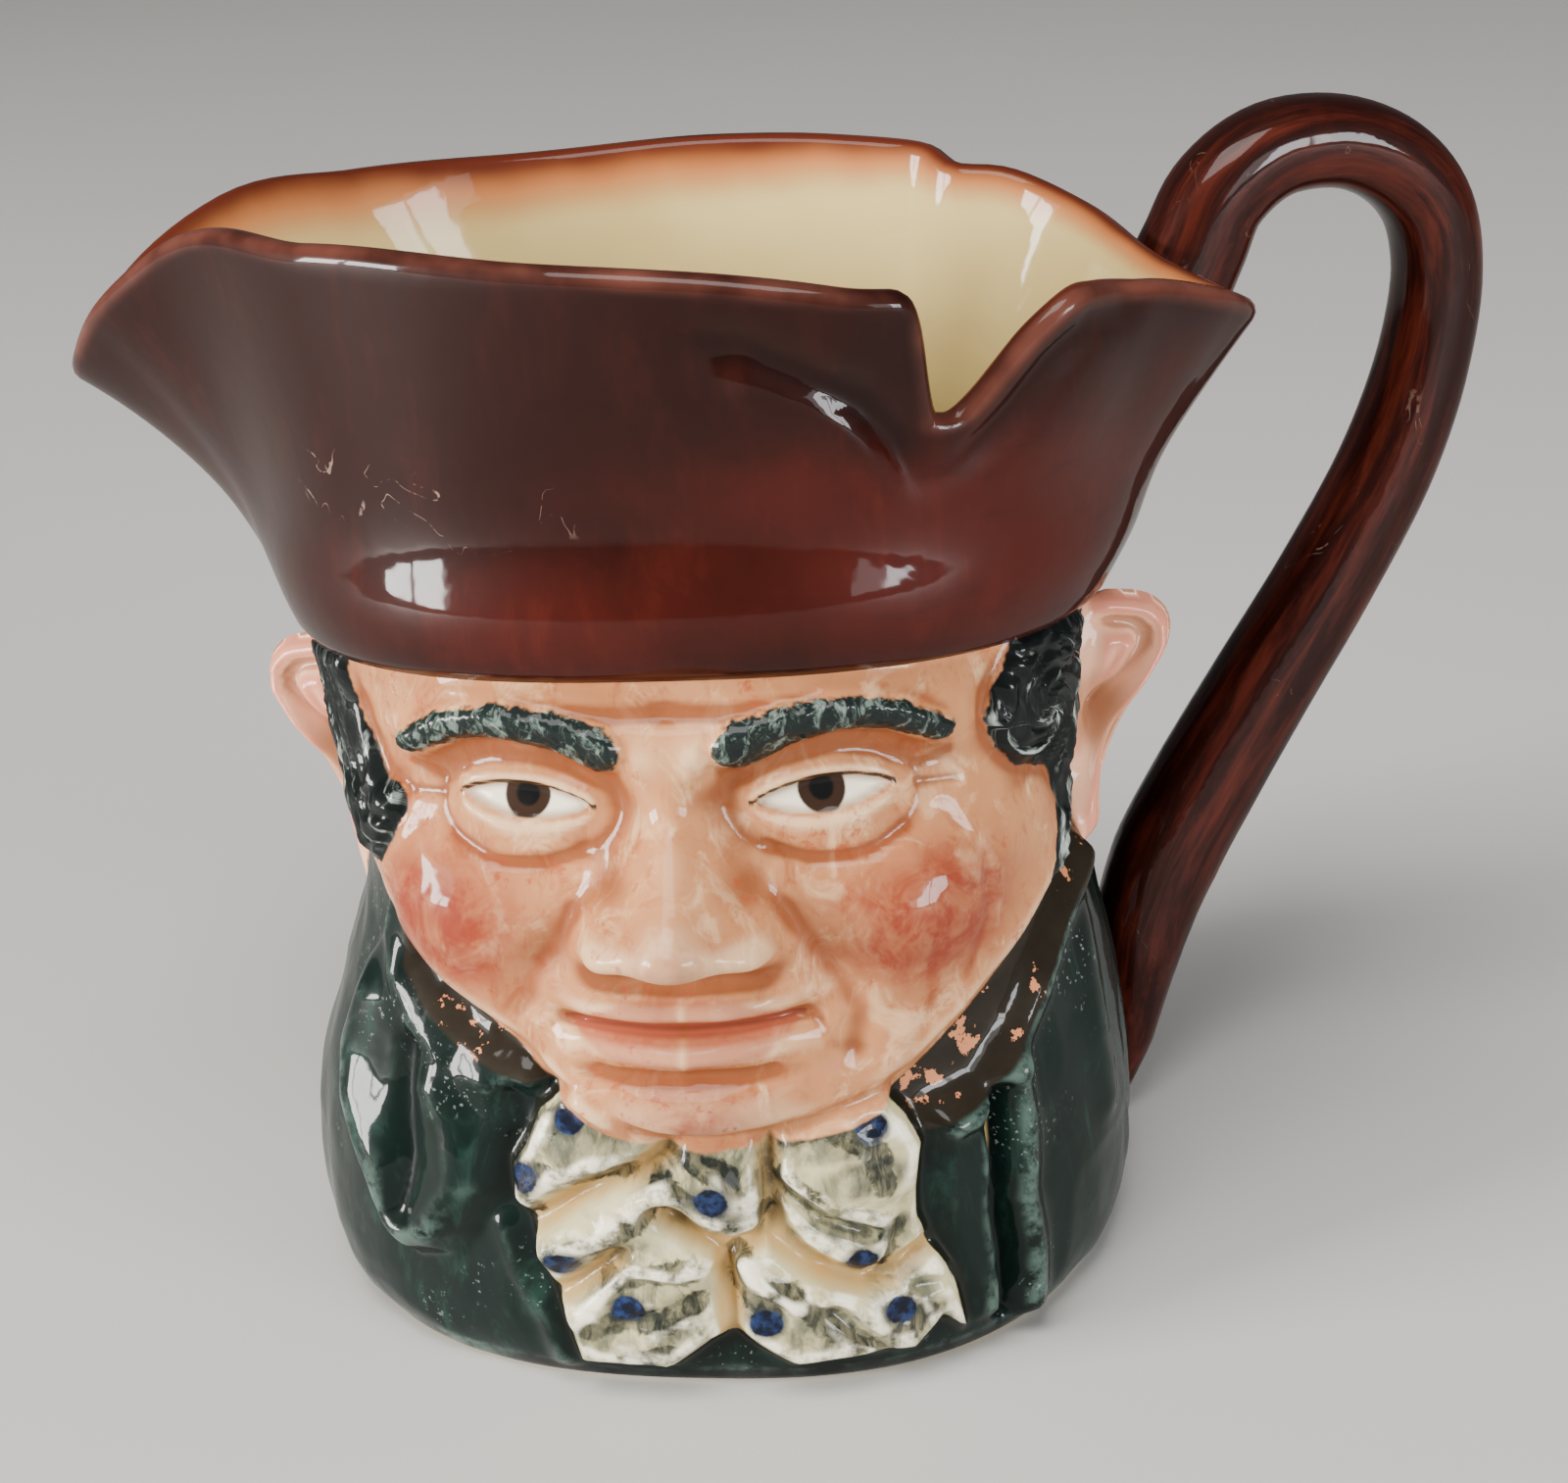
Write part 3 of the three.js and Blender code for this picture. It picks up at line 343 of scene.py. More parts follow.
# Ridges and, below zero, grooves: line, height, width.
CRAVAT_FOLDS = [([(-17, 20.5), (-10.1, 23.4), (-4.5, 28.6)], 1.9, 2.3),
                (FOLD_TOP_LEFT, -2.8, 1.5),
                ([(-18, 27.8), (-14.7, 31), (-10.5, 32.4)], 0.7, 1.3),
                (KNOT_SIDE, -2.7, 1.2),
                (FOLD_ACROSS, -2.8, 1.4),
                (TAIL_PARTING, -2.8, 1.4),
                (FOLD_LOW_LEFT, -2.4, 1.3),
                ([(-7.4, 19.6), (-2.2, 18.4), (1, 19.6)], 1.1, 1.2),
                ([(-13.4, 11.5), (-8.8, 18.2)], 0.8, 1.4),
                ([(-9.4, 10.6), (-4, 13.4), (-0.6, 14.8)], -1.1, 1.1),
                ([(9.2, 28.6), (13, 24.2), (17.5, 21.8)], -1.8, 0.9),
                ([(9.6, 31), (14.2, 26.4), (18.5, 24)], 0.8, 1.1),
                ([(8.6, 25.4), (10.4, 20.6), (13, 18.4)], -1.3, 0.8),
                ([(22.2, 25.5), (21.2, 20.4), (19, 16.4)], -1.4, 0.9),
                ([(4.4, 19.2), (6.2, 16.6), (9.6, 13.8)], 1.2, 1.2),
                ([(11.5, 15.2), (15.9, 13.8), (18, 10)], 0.9, 1.2),
                ([(13.4, 12.4), (16.6, 8.4), (19.4, 5)], -1.2, 0.9),
                ([(22.4, 13.6), (27.4, 13)], -1.0, 0.9)]
CRAVAT_THICK = 3.0

# Creases of the left lapel: line, height, width, and how far in they reach full height.
LAPEL_CREASES = [([(-41.5, 46), (-42.4, 38.8), (-41, 33.5), (-36, 26.5), (-34, 19.5)], 1.8, 3, 3),
                 ([(-29.5, 38), (-27, 33), (-26.5, 27.5), (-29.5, 21)], 1.5, 2.8, 3),
                 ([(-34, 42), (-33.6, 36), (-32.6, 29), (-33, 22)], -1.7, 1.7, 2)]
COAT_LEFT_CREASE = [(-22, 22), (-20.4, 16), (-17.6, 10), (-16.6, 4)]
# Folds to the right of the right lapel: line, height, width.
COAT_CREASES = [(FOLD_RIGHT, -3, 1.4),
                ([(37.4, 36), (37.4, 27), (36.6, 20), (37.4, 13), (37, 5)], 2.3, 2.3),
                ([(58.6, 54), (57, 46.8), (54.6, 40), (53.8, 32), (54.4, 24)], 1.3, 3.2)]


def cravat_relief(x, z):
    """The tied cravat: puffs and folds on a raised cloth."""
    h = CRAVAT_THICK + 0 * x
    for puff in CRAVAT_PUFFS:
        h += mound(x, z, *puff)
    for fold in CRAVAT_FOLDS:
        h += stroke(x, z, *fold)
    return np.maximum(h, 0.5) * smooth(-1.3, 1.5, inside_by(x, z, CRAVAT))


def coat_relief(x, z):
    """Collar, lapels and the folds of the coat."""
    neck = z - curve(x, NECK_ACROSS, NECK_UP)
    below = smooth(3, -1.5, neck) * smooth(74, 60, np.abs(x))
    h = stroke(x, z, COLLAR_LEFT, 2.1, 2.2)
    h += stroke(x, z, COLLAR_RIGHT, 2.3, 2.4)
    left = inside_by(x, z, LAPEL_LEFT)
    h += 2.4 * smooth(-1.4, 2, left)
    for line, height, width, reach in LAPEL_CREASES:
        h += stroke(x, z, line, height, width) * smooth(-1, reach, left)
    h += stroke(x, z, COAT_LEFT_CREASE, 1.1, 1.6)
    h += 1.7 * smooth(-1.4, 1.8, inside_by(x, z, LAPEL_RIGHT))
    for crease in COAT_CREASES:
        h += stroke(x, z, *crease)
    return h * below


def hair_relief(x, z):
    """Sideburn on the left, sideburn and curl on the right."""
    left = smooth(-1, 1.6, inside_by(x, z, HAIR_LEFT))
    right = smooth(-1, 1.6, inside_by(x, z, HAIR_RIGHT))
    curl = mound(x, z, 46, 79, 8, 7, 1.6) + mound(x, z, -37, 71, 5, 4.5, 1.2)
    return np.maximum(left, right) * (1.9 + curl)


# ------------------------------------------------------------------ a plain, calm, regular face
FACE_ROUND = 2.5
EYE_ACROSS, EYE_UP, EYE_LONG, EYE_HIGH, EYE_LOW = 17.0, 76.0, 7.9, 2.1, 2.0
NOSE_UP = [54.5, 56.5, 58, 59.5, 62, 65, 68, 72, 76, 80, 86]
NOSE_OUT = [0, 0.8, 4.2, 8.8, 11.6, 11.2, 9.2, 6.6, 4.4, 3.2, 0.8]
NOSE_HALF = [6, 6, 6.6, 7.2, 7.2, 6.4, 5.4, 4.7, 4.4, 5.2, 7]
BROW = [(8.2, 83.2), (13, 85), (19, 86), (25, 85), (30, 82)]
CHEEK_LINE = [(11.6, 63), (15.5, 57.5), (18.6, 50), (18, 46)]


def eye_lids(a):
    """Heights of the upper and lower lid at a distance from the eye's middle."""
    arch = np.maximum(0, 1 - (a / EYE_LONG) ** 2)
    return EYE_HIGH * arch ** 0.75 + 0.04 * a, -EYE_LOW * arch ** 0.85 + 0.04 * a


def eye_relief(a, b):
    """Eyeball, opening, lids and the creases over and under them."""
    ball = np.maximum(0, 1 - (a / 11) ** 2 - (b / 7.2) ** 2) ** 1.15
    upper, lower = eye_lids(a)
    gap = np.minimum(upper - b, b - lower)
    opening = smooth(-0.35, 0.35, gap) * smooth(EYE_LONG, EYE_LONG - 1.2, np.abs(a))
    lid_top = bell(b, upper + 0.75, 0.75) * smooth(9.4, 7, np.abs(a))
    lid_low = bell(b, lower - 0.6, 0.65) * smooth(9, 6.5, np.abs(a))
    crease = bell(b, upper + 2.9, 0.75) * smooth(10, 6.5, np.abs(a))
    under = bell(b, lower - 3.4, 1.2) * smooth(10, 5, np.abs(a))
    return 4.2 * ball - 0.75 * opening + 0.7 * lid_top + 0.5 * lid_low - 0.6 * crease - 0.35 * under


def face_relief(x, z):
    """Forms of the face, the same on both sides."""
    s = np.sqrt(x * x + FACE_ROUND)
    neck = z - curve(x, NECK_ACROSS, NECK_UP)
    h = 3.2 * smooth(84, 58, z)
    h += mound(s, z, 25.5, 61.5, 9.5, 9, 3.9)
    h += mound(s, z, 35, 68, 9, 7, 1.2)
    h += mound(s, z, 17, 77, 9.5, 6.2, -4.2)
    h += stroke(s, z, [(4, 83), (13, 86), (22, 86.5), (31, 83)], 2.2, 4)
    h += mound(x, z, 0, 50.5, 16, 7.5, 2.8)
    h += mound(x, z, 0, 39.8, 12, 5.2, 4.4)
    h += mound(x, z, 0, 44.6, 9, 1.8, -1.5)
    h += mound(x, z, 0, 47.4, 8.6, 2.1, 2.3)
    h += mound(s, z, 4.2, 52.7, 5.4, 1.6, 1.8)
    lips = 50.2 + 0.003 * s * s
    h -= 1.7 * bell(z, lips, 0.9) * smooth(14.5, 11, s)
    h -= 1.0 * bell(np.hypot(s - 13.8, z - 50.8), 0, 2.2)
    h += stroke(s, z, CHEEK_LINE, -1.2, 2.2)
    h -= 0.6 * bell(s, 0, 1.7) * smooth(53.5, 55, z) * smooth(59, 57, z)
    nose_half = curve(z, NOSE_UP, NOSE_HALF)
    nose_out = np.where((z > 54.5) & (z < 86), curve(z, NOSE_UP, NOSE_OUT), 0)
    h += nose_out * np.exp(-(s / nose_half) ** 2.1) + mound(x, z, 0, 62.4, 5, 4.4, 1.6)
    h += mound(s, z, 7.6, 61.2, 2.9, 3.3, 4.4)
    h -= 1.6 * bell(np.hypot((s - 4.3) / 1.5, z - 58.4), 0, 1.5)
    h += eye_relief(s - EYE_ACROSS, z - EYE_UP)
    brow_away, brow_along = to_line(s, z, BROW)
    brow_wide = lerp(2.9, 1.6, brow_along)
    h += 1.7 * smooth(brow_wide + 0.8, brow_wide - 1, brow_away)
    return h * smooth(-0.6, 4.2, neck) * smooth(66, 50, s)


def plain_relief(t, z):
    """All the forms that the solid has too."""
    x = wrap(t) * FACE_ARC
    foot = smooth(0.5, 4, z)
    under = smooth(hat_edge(t) + 0.5, hat_edge(t) - 2.5, z)
    face = face_relief(x, z) * under
    hair = hair_relief(x, z) * (0.35 + 0.65 * under)
    return np.maximum(face, 0.6 * face + hair) + (coat_relief(x, z) + cravat_relief(x, z)) * foot


# ------------------------------------------------------------------ the shell as a rolled-up sheet
def column_angles(count, front_gap, side_gap, back_gap):
    """Angles of the columns, closest together on the face."""
    steps = 7200
    a = np.abs(deg(-np.pi + 2 * np.pi * (np.arange(steps) + 0.5) / steps))
    gap = front_gap + (side_gap - front_gap) * smooth(40, 75, a)
    gap += (back_gap - side_gap) * smooth(75, 112, a)
    total = np.concatenate([[0], np.cumsum(1 / gap)])
    want = total[-1] * np.arange(count) / count
    return np.interp(want, total, -np.pi + 2 * np.pi * np.arange(steps + 1) / steps)


def gather(t, at, strength, width):
    """Angles drawn together round one place."""
    d = deg(wrap(t - rad(at)))
    return t - rad(d * strength * bell(d, 0, width))


def rim_angle(t):
    """Angles at the rim, where columns gather at the cut, the spout and the corner."""
    a = gather(t, NOTCH_AT - 2, 0.62, 13)
    a = gather(a, SPOUT_AT, 0.6, 22)
    return gather(a, CORNER_AT, 0.45, 16)


def inner_radius(t, z):
    """Inside of the wall, with a rounded corner at the floor."""
    edge = hat_edge(t)
    plain = body_radius(t, z) + (HAT_PROUD + hat_roll(t, 0)) * smooth(edge - 22, edge, z) - WALL
    low = np.maximum(0, FLOOR + FLOOR_CURVE - z)
    return plain - (FLOOR_CURVE - np.sqrt(np.maximum(0, FLOOR_CURVE ** 2 - low ** 2)))


def shell_rings(t, body_rows, hat_rows, lip_steps, inner_hat_rows, inner_rows):
    """Rings from the foot up the outside, over the lip and down the inside to the floor."""
    rim_t = rim_angle(t)
    edge = hat_edge(t)
    rings = [place(t, body_radius(t, 0 * t) - FOOT_BEVEL, 0 * t)]
    for row in body_rows:
        z = np.full_like(t, row)
        if row >= LEVEL_TO:
            z = LEVEL_TO + (row - LEVEL_TO) * (edge - LEVEL_TO) / ROWS_PAST
        rings.append(place(t, body_radius(t, z) + body_relief(t, z), z))
    base = body_radius(t, edge)
    rings.append(place(t, base + 0.2, edge - 0.1))
    rings.append(place(t, base + HAT_PROUD + hat_roll(t, 0) - 0.5, edge + 0.1))
    for k in range(hat_rows + 1):
        h = 0.035 if k == 0 else lerp(0.035, 1, k / hat_rows)
        a = lerp(t, rim_t, h)
        rings.append(hat_point(a, lerp(edge, rim_height(rim_t), h)))
    rim = rings[-1]
    along = unit(np.roll(rim, -1, 0) - np.roll(rim, 1, 0))
    out = hat_normal(rim_t, rim[:, 2])
    out = unit(out - along * (out * along).sum(-1, keepdims=True))
    up = np.cross(out, along)
    for k in range(1, lip_steps + 1):
        a = np.pi * k / lip_steps
        rings.append(rim + LIP * (np.cos(a) - 1) * out + LIP * np.sin(a) * up)
    for k in range(1, inner_hat_rows + 1):
        h = 1 - k / inner_hat_rows
        a = lerp(t, rim_t, h)
        z = lerp(edge, rim_height(rim_t), h)
        thick = lerp(WALL, 2 * LIP, smooth(0.3, 1, h))
        rings.append(hat_point(a, z) - thick * hat_normal(a, z))
    for row in inner_rows:
        z = np.full_like(t, row)
        rings.append(place(t, inner_radius(t, z), z))
    z = np.full_like(t, FLOOR)
    rings.append(place(t, inner_radius(t, z) - 0.5, z))
    return np.array(rings)


def keep_out(p):
    """Points meant to sit inside the wall are held at mid wall, clear of the hollow."""
    t = np.arctan2(p[..., 0], -p[..., 1])
    r = np.hypot(p[..., 0], p[..., 1])
    z = p[..., 2]
    plain = np.where(z < hat_edge(t), body_radius(t, z), hat_radius(t, z))
    least = plain - WALL * 0.45
    return np.where((r >= least)[..., None], p, place(t, least, z))


# ------------------------------------------------------------------ ears and handle
def ear_face(out, up):
    """Front of the ear: rolled edge, inner fold, bowl and lobe."""
    edge = inside_by(out, up, list(zip(EAR_OUT, EAR_UP)))
    high = smooth(54, 60, up)
    h = 1.9 * smooth(0, 1.9, edge)
    h += 0.9 * bell(edge, 1.9, 1.1) * smooth(-1, 3, out) * high
    h -= 1.5 * bell(edge, 4.4, 1.2) * smooth(58, 66, up) * smooth(1, 5, out)
    h += 0.9 * bell(edge, 6.4, 1.2) * smooth(62, 68, up) * smooth(1, 5, out)
    h -= mound(out, up, 3.4, 68.5, 3.0, 5.6, 3.2)
    h += mound(out, up, 0.2, 65.5, 1.8, 2.6, 1.8)
    return h + mound(out, up, 2.6, 54.5, 3, 3.6, 1.2)


def ear_back(out, up):
    """Back of the ear, full in the middle and thin at the edge."""
    edge = inside_by(out, up, list(zip(EAR_OUT, EAR_UP)))
    return EAR_THICK * smooth(-0.2, 4.5, edge) - 0.2


def closed_line(points, count):
    """Evenly spaced points on a smooth closed line through the given corners."""
    p = np.asarray(points, float)
    n = len(p)
    fine = []
    for i in range(n):
        a, b, c, d = p[i - 1], p[i], p[(i + 1) % n], p[(i + 2) % n]
        for s in np.arange(20) / 20:
            fine.append(0.5 * ((2 * b) + (c - a) * s + (2 * a - 5 * b + 4 * c - d) * s * s
                               + (3 * b - a - 3 * c + d) * s ** 3))
    fine = np.array(fine + [fine[0]])
    run = np.concatenate([[0], np.cumsum(np.linalg.norm(np.diff(fine, axis=0), axis=1))])
    want = run[-1] * np.arange(count) / count
    return np.stack([np.interp(want, run, fine[:, k]) for k in range(fine.shape[1])], -1)


def ear_point(side, out, up, off):
    """A place on the ear: distance out from the head, height and depth, with the ear leaning back."""
    t, sweep = rad(EAR_AT), rad(EAR_SWEEP)
    high = EAR_LOW + EAR_SIZE * (up - min(EAR_UP))
    root = body_radius(side * t + 0 * up, high) + 0.4
    lean = 0.32 * (up - 66)
    drop = EAR_LEFT_DROP if side < 0 else 0
    if side < 0:
        out = out + EAR_LEFT_LEAN * (smooth(50, 78, up) - 0.55)
    x = root * np.sin(t) + out * np.cos(sweep) + off * np.sin(sweep)
    y = -root * np.cos(t) + 2.4 + out * np.sin(sweep) - off * np.cos(sweep) + lean
    return np.stack([side * x, y, high - drop], -1)


def ear_rings(side, count, rows):
    """Rings of one ear, from the middle of its front over the edge to the middle of its back."""
    edge = closed_line(list(zip(EAR_OUT, EAR_UP)), count)
    rings = []
    for k in range(rows * 2):
        front = k < rows
        part = (k + 0.35) / (rows - 0.3) if front else (rows * 2 - k - 0.65) / (rows - 0.3)
        s = np.clip(part, 0.04, 1)
        out = lerp(3.4, edge[:, 0], s)
        up = lerp(69, edge[:, 1], s)
        off = ear_face(out, up) if front else -ear_back(out, up)
        rings.append(keep_out(ear_point(side, out, up, off)))
    rings = np.array(rings)
    return rings if side < 0 else rings[:, ::-1]


def open_line(points, s):
    """Points and directions on a smooth open line at places s from 0 to 1, with centripetal spacing."""
    p = np.asarray(points, float)
    p = np.vstack([2 * p[0] - p[1], p, 2 * p[-1] - p[-2]])
    n = len(p) - 3
    i = np.clip((s * n).astype(int), 0, n - 1)
    w = (s * n - i)[:, None]
    a, b, c, d = p[i], p[i + 1], p[i + 2], p[i + 3]
    k0 = np.linalg.norm(b - a, axis=1, keepdims=True) ** 0.5
    k1 = np.linalg.norm(c - b, axis=1, keepdims=True) ** 0.5
    k2 = np.linalg.norm(d - c, axis=1, keepdims=True) ** 0.5
    m0 = ((b - a) / k0 - (c - a) / (k0 + k1) + (c - b) / k1) * k1
    m1 = ((c - b) / k1 - (d - b) / (k1 + k2) + (d - c) / k2) * k1
    q2 = -3 * b + 3 * c - 2 * m0 - m1
    q3 = 2 * b - 2 * c + m0 + m1
    return b + m0 * w + q2 * w ** 2 + q3 * w ** 3, unit(m0 + 2 * q2 * w + 3 * q3 * w ** 2)


def handle_rings(count, steps):
    """Rings of the handle, from its root in the hat down to its tail on the coat."""
    t = rad(HANDLE_AT)
    across = np.array([np.cos(t), np.sin(t), 0])
    stations = place(t + 0 * np.array(HANDLE_OUT), np.array(HANDLE_OUT, float), np.array(HANDLE_UP, float))
    s = np.arange(steps + 1) / steps
    middle, along = open_line(stations, s)
    out = unit(np.cross(across, along))
    wide = np.interp(s * (len(HANDLE_OUT) - 1), np.arange(len(HANDLE_OUT)), HANDLE_WIDE) / 2
    deep = np.minimum(HANDLE_DEEP / 2, wide * 1.05) + 1.4 * smooth(0.1, 0, s)
    a = 2 * np.pi * np.arange(count) / count
    c, d = np.cos(a), np.sin(a)
    blunt = (np.abs(c) ** 2.3 + np.abs(d) ** 2.3) ** (-1 / 2.3)
    rings = (middle[:, None] + out[:, None] * (wide[:, None] * c * blunt)[..., None]
             + across * (deep[:, None] * d * blunt)[..., None])
    return keep_out(rings)


# ------------------------------------------------------------------ finer carving on those forms
HAIR_LINE_LEFT = [(-48, 92), (-45, 84), (-42, 76), (-38, 70), (-34.5, 69)]
HAIR_LINE_RIGHT = [(52, 92), (50, 82), (49.6, 72), (50.8, 64), (48, 56)]
CURL = (45.5, 79.5)
CURL_TURNS = 6
LOCK_WIDE = 2.3
NAPE = 63
BACK_CENTRE = np.pi * FACE_ARC


def neck_line(x):
    """Height where the coat's collar meets the skin, all the way round."""
    front = curve(np.clip(x, -56, 60), NECK_ACROSS, NECK_UP)
    return lerp(front, NAPE, smooth(56, 84, np.abs(x)))


def back_hair(x, z):
    """How far inside the hair at the back of the head, from behind one ear round to the other."""
    return np.minimum(np.abs(x) - 57 - 0.25 * (z - 60), z - neck_line(x) + 1.0)


def strands(x, z):
    """Distance across and along the locks of hair, in mm."""
    left, left_run = to_line(x, z, HAIR_LINE_LEFT)
    right, right_run = to_line(x, z, HAIR_LINE_RIGHT)
    round_curl = np.hypot(x - CURL[0], z - CURL[1])
    turn = np.arctan2(z - CURL[1], x - CURL[0]) / (2 * np.pi)
    swirl = 0.75 * round_curl + turn * CURL_TURNS * LOCK_WIDE
    in_curl = smooth(9.5, 7, round_curl)
    across = np.where(x < 0, left, lerp(right, swirl, in_curl))
    along = np.where(x < 0, left_run * 30, lerp(right_run * 38, round_curl * 2, in_curl))
    return across, along


def back_relief(x, z):
    """Plain locks of hair, the rolled collar and the seam down the back of the coat."""
    s = np.abs(x)
    hair = smooth(0, 2, back_hair(x, z))
    bend = 0.8 * clouds(x, z * 0.6, 7, 31) + 0.15 * clouds(x, z * 0.6, 3, 32)
    locks = 0.45 * np.cos(2 * np.pi * ((s + 0.25 * z) / 3.0 + bend * 0.7))
    fine = 0.12 * np.cos(2 * np.pi * ((s + 0.3 * z) / 1.5 + bend))
    hair = hair * smooth(0.4, 4, BACK_CENTRE - s)
    side = smooth(60, 74, s)
    below = neck_line(x) - z
    collar = 1.5 * smooth(-0.6, 1.2, below) * smooth(9.6, 7.8, below)
    seam = -0.7 * bell(s, BACK_CENTRE, 1.1) * smooth(9, 11, below) * smooth(2, 4, z)
    soft = 0.35 * clouds(s * 0.9, z * 0.5, 15, 33) * smooth(9, 13, below) * smooth(1, 6, z)
    return (locks + fine) * hair + (collar + soft) * side + seam


def strand_relief(x, z):
    """Locks and single hairs in the sideburns, the curl and the brows."""
    across, along = strands(x, z)
    hair = smooth(0, 1.5, hair_inside(x, z))
    bend = 0.9 * clouds(x, z, 5.5, 3) + 0.35 * clouds(x, z, 2.4, 4)
    locks = 0.42 * np.cos(2 * np.pi * (across / LOCK_WIDE + along / 17 + bend * 0.6))
    fine = 0.16 * np.cos(2 * np.pi * (across / 1.15 + along / 30 + bend))
    away, run = to_line(np.abs(x), z, BROW)
    wide = lerp(2.9, 1.6, run)
    brow = smooth(wide + 0.5, wide - 0.6, away)
    slant = 0.26 * np.cos(2 * np.pi * ((np.abs(x) * 0.8 - z * 0.9) / 1.7 + 0.35 * clouds(x, z, 2.2, 5)))
    return hair * (locks + fine) + brow * slant


def hair_inside(x, z):
    """How far inside the sideburns, below zero outside them."""
    return np.maximum(inside_by(x, z, HAIR_LEFT), inside_by(x, z, HAIR_RIGHT))


def skin_relief(x, z):
    """Soft unevenness of a hand-modelled face and the folds beside the eyes and mouth."""
    s = np.abs(x)
    face = smooth(0, 4, z - curve(x, NECK_ACROSS, NECK_UP)) * smooth(48, 42, s)
    h = 0.18 * clouds(x, z, 6.5, 11) + 0.12 * clouds(x, z, 3.1, 12) + 0.05 * clouds(x, z * 0.6, 1.5, 13)
    h += 0.22 * (0.4 - np.abs(clouds(x * 0.6 + z * 0.2, z, 4.4, 14))) * smooth(12, 24, s)
    h += stroke(s, z, [(0, 87.6), (8, 87.2), (16, 88.4)], -0.3, 0.8)
    h += stroke(s, z, [(30, 72), (33.4, 66), (33.6, 58), (31, 51)], -0.3, 0.9)
    h += stroke(s, z, [(26.5, 50), (25.4, 45), (22, 40.6)], -0.3, 0.8)
    h += stroke(s, z, [(0, 43.2), (5.4, 43.4), (9, 45)], -0.3, 0.9)
    h += stroke(s, z, [(28, 77.4), (32, 78.6)], -0.35, 0.55)
    h += stroke(s, z, [(28, 75.4), (32.4, 75)], -0.35, 0.55)
    h += stroke(s, z, [(10.5, 70.6), (15, 68.8), (21, 69), (25.5, 71)], -0.4, 0.8)
    h += stroke(s, z, [(14.6, 49.4), (15.6, 46.4)], -0.35, 0.8)
    return h * face


def cloth_relief(x, z):
    """Soft facets of the cravat and creases of the coat."""
    inside = smooth(0, 1.5, inside_by(x, z, CRAVAT))
    facets = 0.45 * (0.5 - np.abs(clouds(x * 1.1 + z * 0.3, z, 5.2, 21))) + 0.16 * clouds(x, z, 2.1, 22)
    coat = smooth(1, -1.5, z - curve(x, NECK_ACROSS, NECK_UP)) * (1 - inside)
    creases = 0.55 * (0.4 - np.abs(clouds(x * 1.25, z * 0.7, 8.5, 23))) + 0.10 * clouds(x, z, 3.4, 24)
    return inside * facets + coat * creases


def fine_relief(t, z):
    """All the fine carving, in front and round the back."""
    x = wrap(t) * FACE_ARC
    front = smooth(96, 70, np.abs(x)) * smooth(0.5, 3, z)
    h = strand_relief(x, z) * smooth(hat_edge(t), hat_edge(t) - 1.5, z)
    around = back_relief(x, z) * smooth(0.5, 3, z) * smooth(hat_edge(t), hat_edge(t) - 1.5, z)
    return (h + skin_relief(x, z) + cloth_relief(x, z)) * front + around


# ------------------------------------------------------------------ meshes
BODY_ROWS = np.arange(1.0, 91.3, 0.6)
COLUMN_COUNT = 400
HAT_ROWS = 24
LIP_STEPS = 6
INNER_HAT_ROWS = 10
INNER_ROWS = [80, 70, 58, 44, 30, 20, 14, 10, 7.6]
FOOT_STEPS = [(0.5, 0.7), (0.86, 0.7), (0.9, 0.0)]
LEVEL_TO = 60
ROWS_PAST = 31.5
WALL_MARK, EAR_MARK, HANDLE_MARK = 0, 1, 2
CHUNK = 40


def nothing_selected():
    """Deselects everything, since an operator acts on all that is selected."""
    for thing in list(bpy.context.selected_objects):
        thing.select_set(False)


def put_vertices(piece, points_mm):
    """Moves a mesh's points to places in millimetres."""
    piece.data.vertices.foreach_set("co", (points_mm * MM).ravel())
    piece.data.update()


def get_vertices(piece):
    """Places of a mesh's points, in metres."""
    co = np.empty(len(piece.data.vertices) * 3)
    piece.data.vertices.foreach_get("co", co)
    return co.reshape(-1, 3)


def ball_shaped_to(name, rings):
    """A ball whose parallels are moved onto the given rings, so it closes with a pole at each end."""
    rows, columns, _ = rings.shape
    nothing_selected()
    bpy.ops.mesh.primitive_uv_sphere_add(segments=columns, ring_count=rows + 1, radius=1)
    piece = bpy.context.object
    piece.name = name
    ball = get_vertices(piece)
    row = np.round(np.arccos(np.clip(-ball[:, 2], -1, 1)) / np.pi * (rows + 1)).astype(int) - 1
    column = np.round(np.arctan2(ball[:, 1], ball[:, 0]) / (2 * np.pi) * columns).astype(int) % columns
    points = rings[np.clip(row, 0, rows - 1), column]
    points[row < 0] = rings[0].mean(0)
    points[row >= rows] = rings[-1].mean(0)
    put_vertices(piece, points)
    if volume_of(piece) < 0:
        bpy.ops.object.mode_set(mode="EDIT")
        bpy.ops.mesh.select_all(action="SELECT")
        bpy.ops.mesh.flip_normals()
        bpy.ops.mesh.select_all(action="DESELECT")
        bpy.ops.object.mode_set(mode="OBJECT")
    return piece


def volume_of(piece):
    """Volume inside the faces, below zero when they point inwards."""
    piece.data.calc_loop_triangles()
    corners = np.empty(len(piece.data.loop_triangles) * 3, int)
    piece.data.loop_triangles.foreach_get("vertices", corners)
    a, b, c = get_vertices(piece)[corners.reshape(-1, 3)].transpose(1, 0, 2)
    return (a * np.cross(b, c)).sum() / 6


def marked(piece, slots, number):
    """Gives a piece the shared list of marks, with all its faces on one of them."""
    for slot in slots:
        piece.data.materials.append(slot)
    piece.data.polygons.foreach_set("material_index", [number] * len(piece.data.polygons))
    return piece


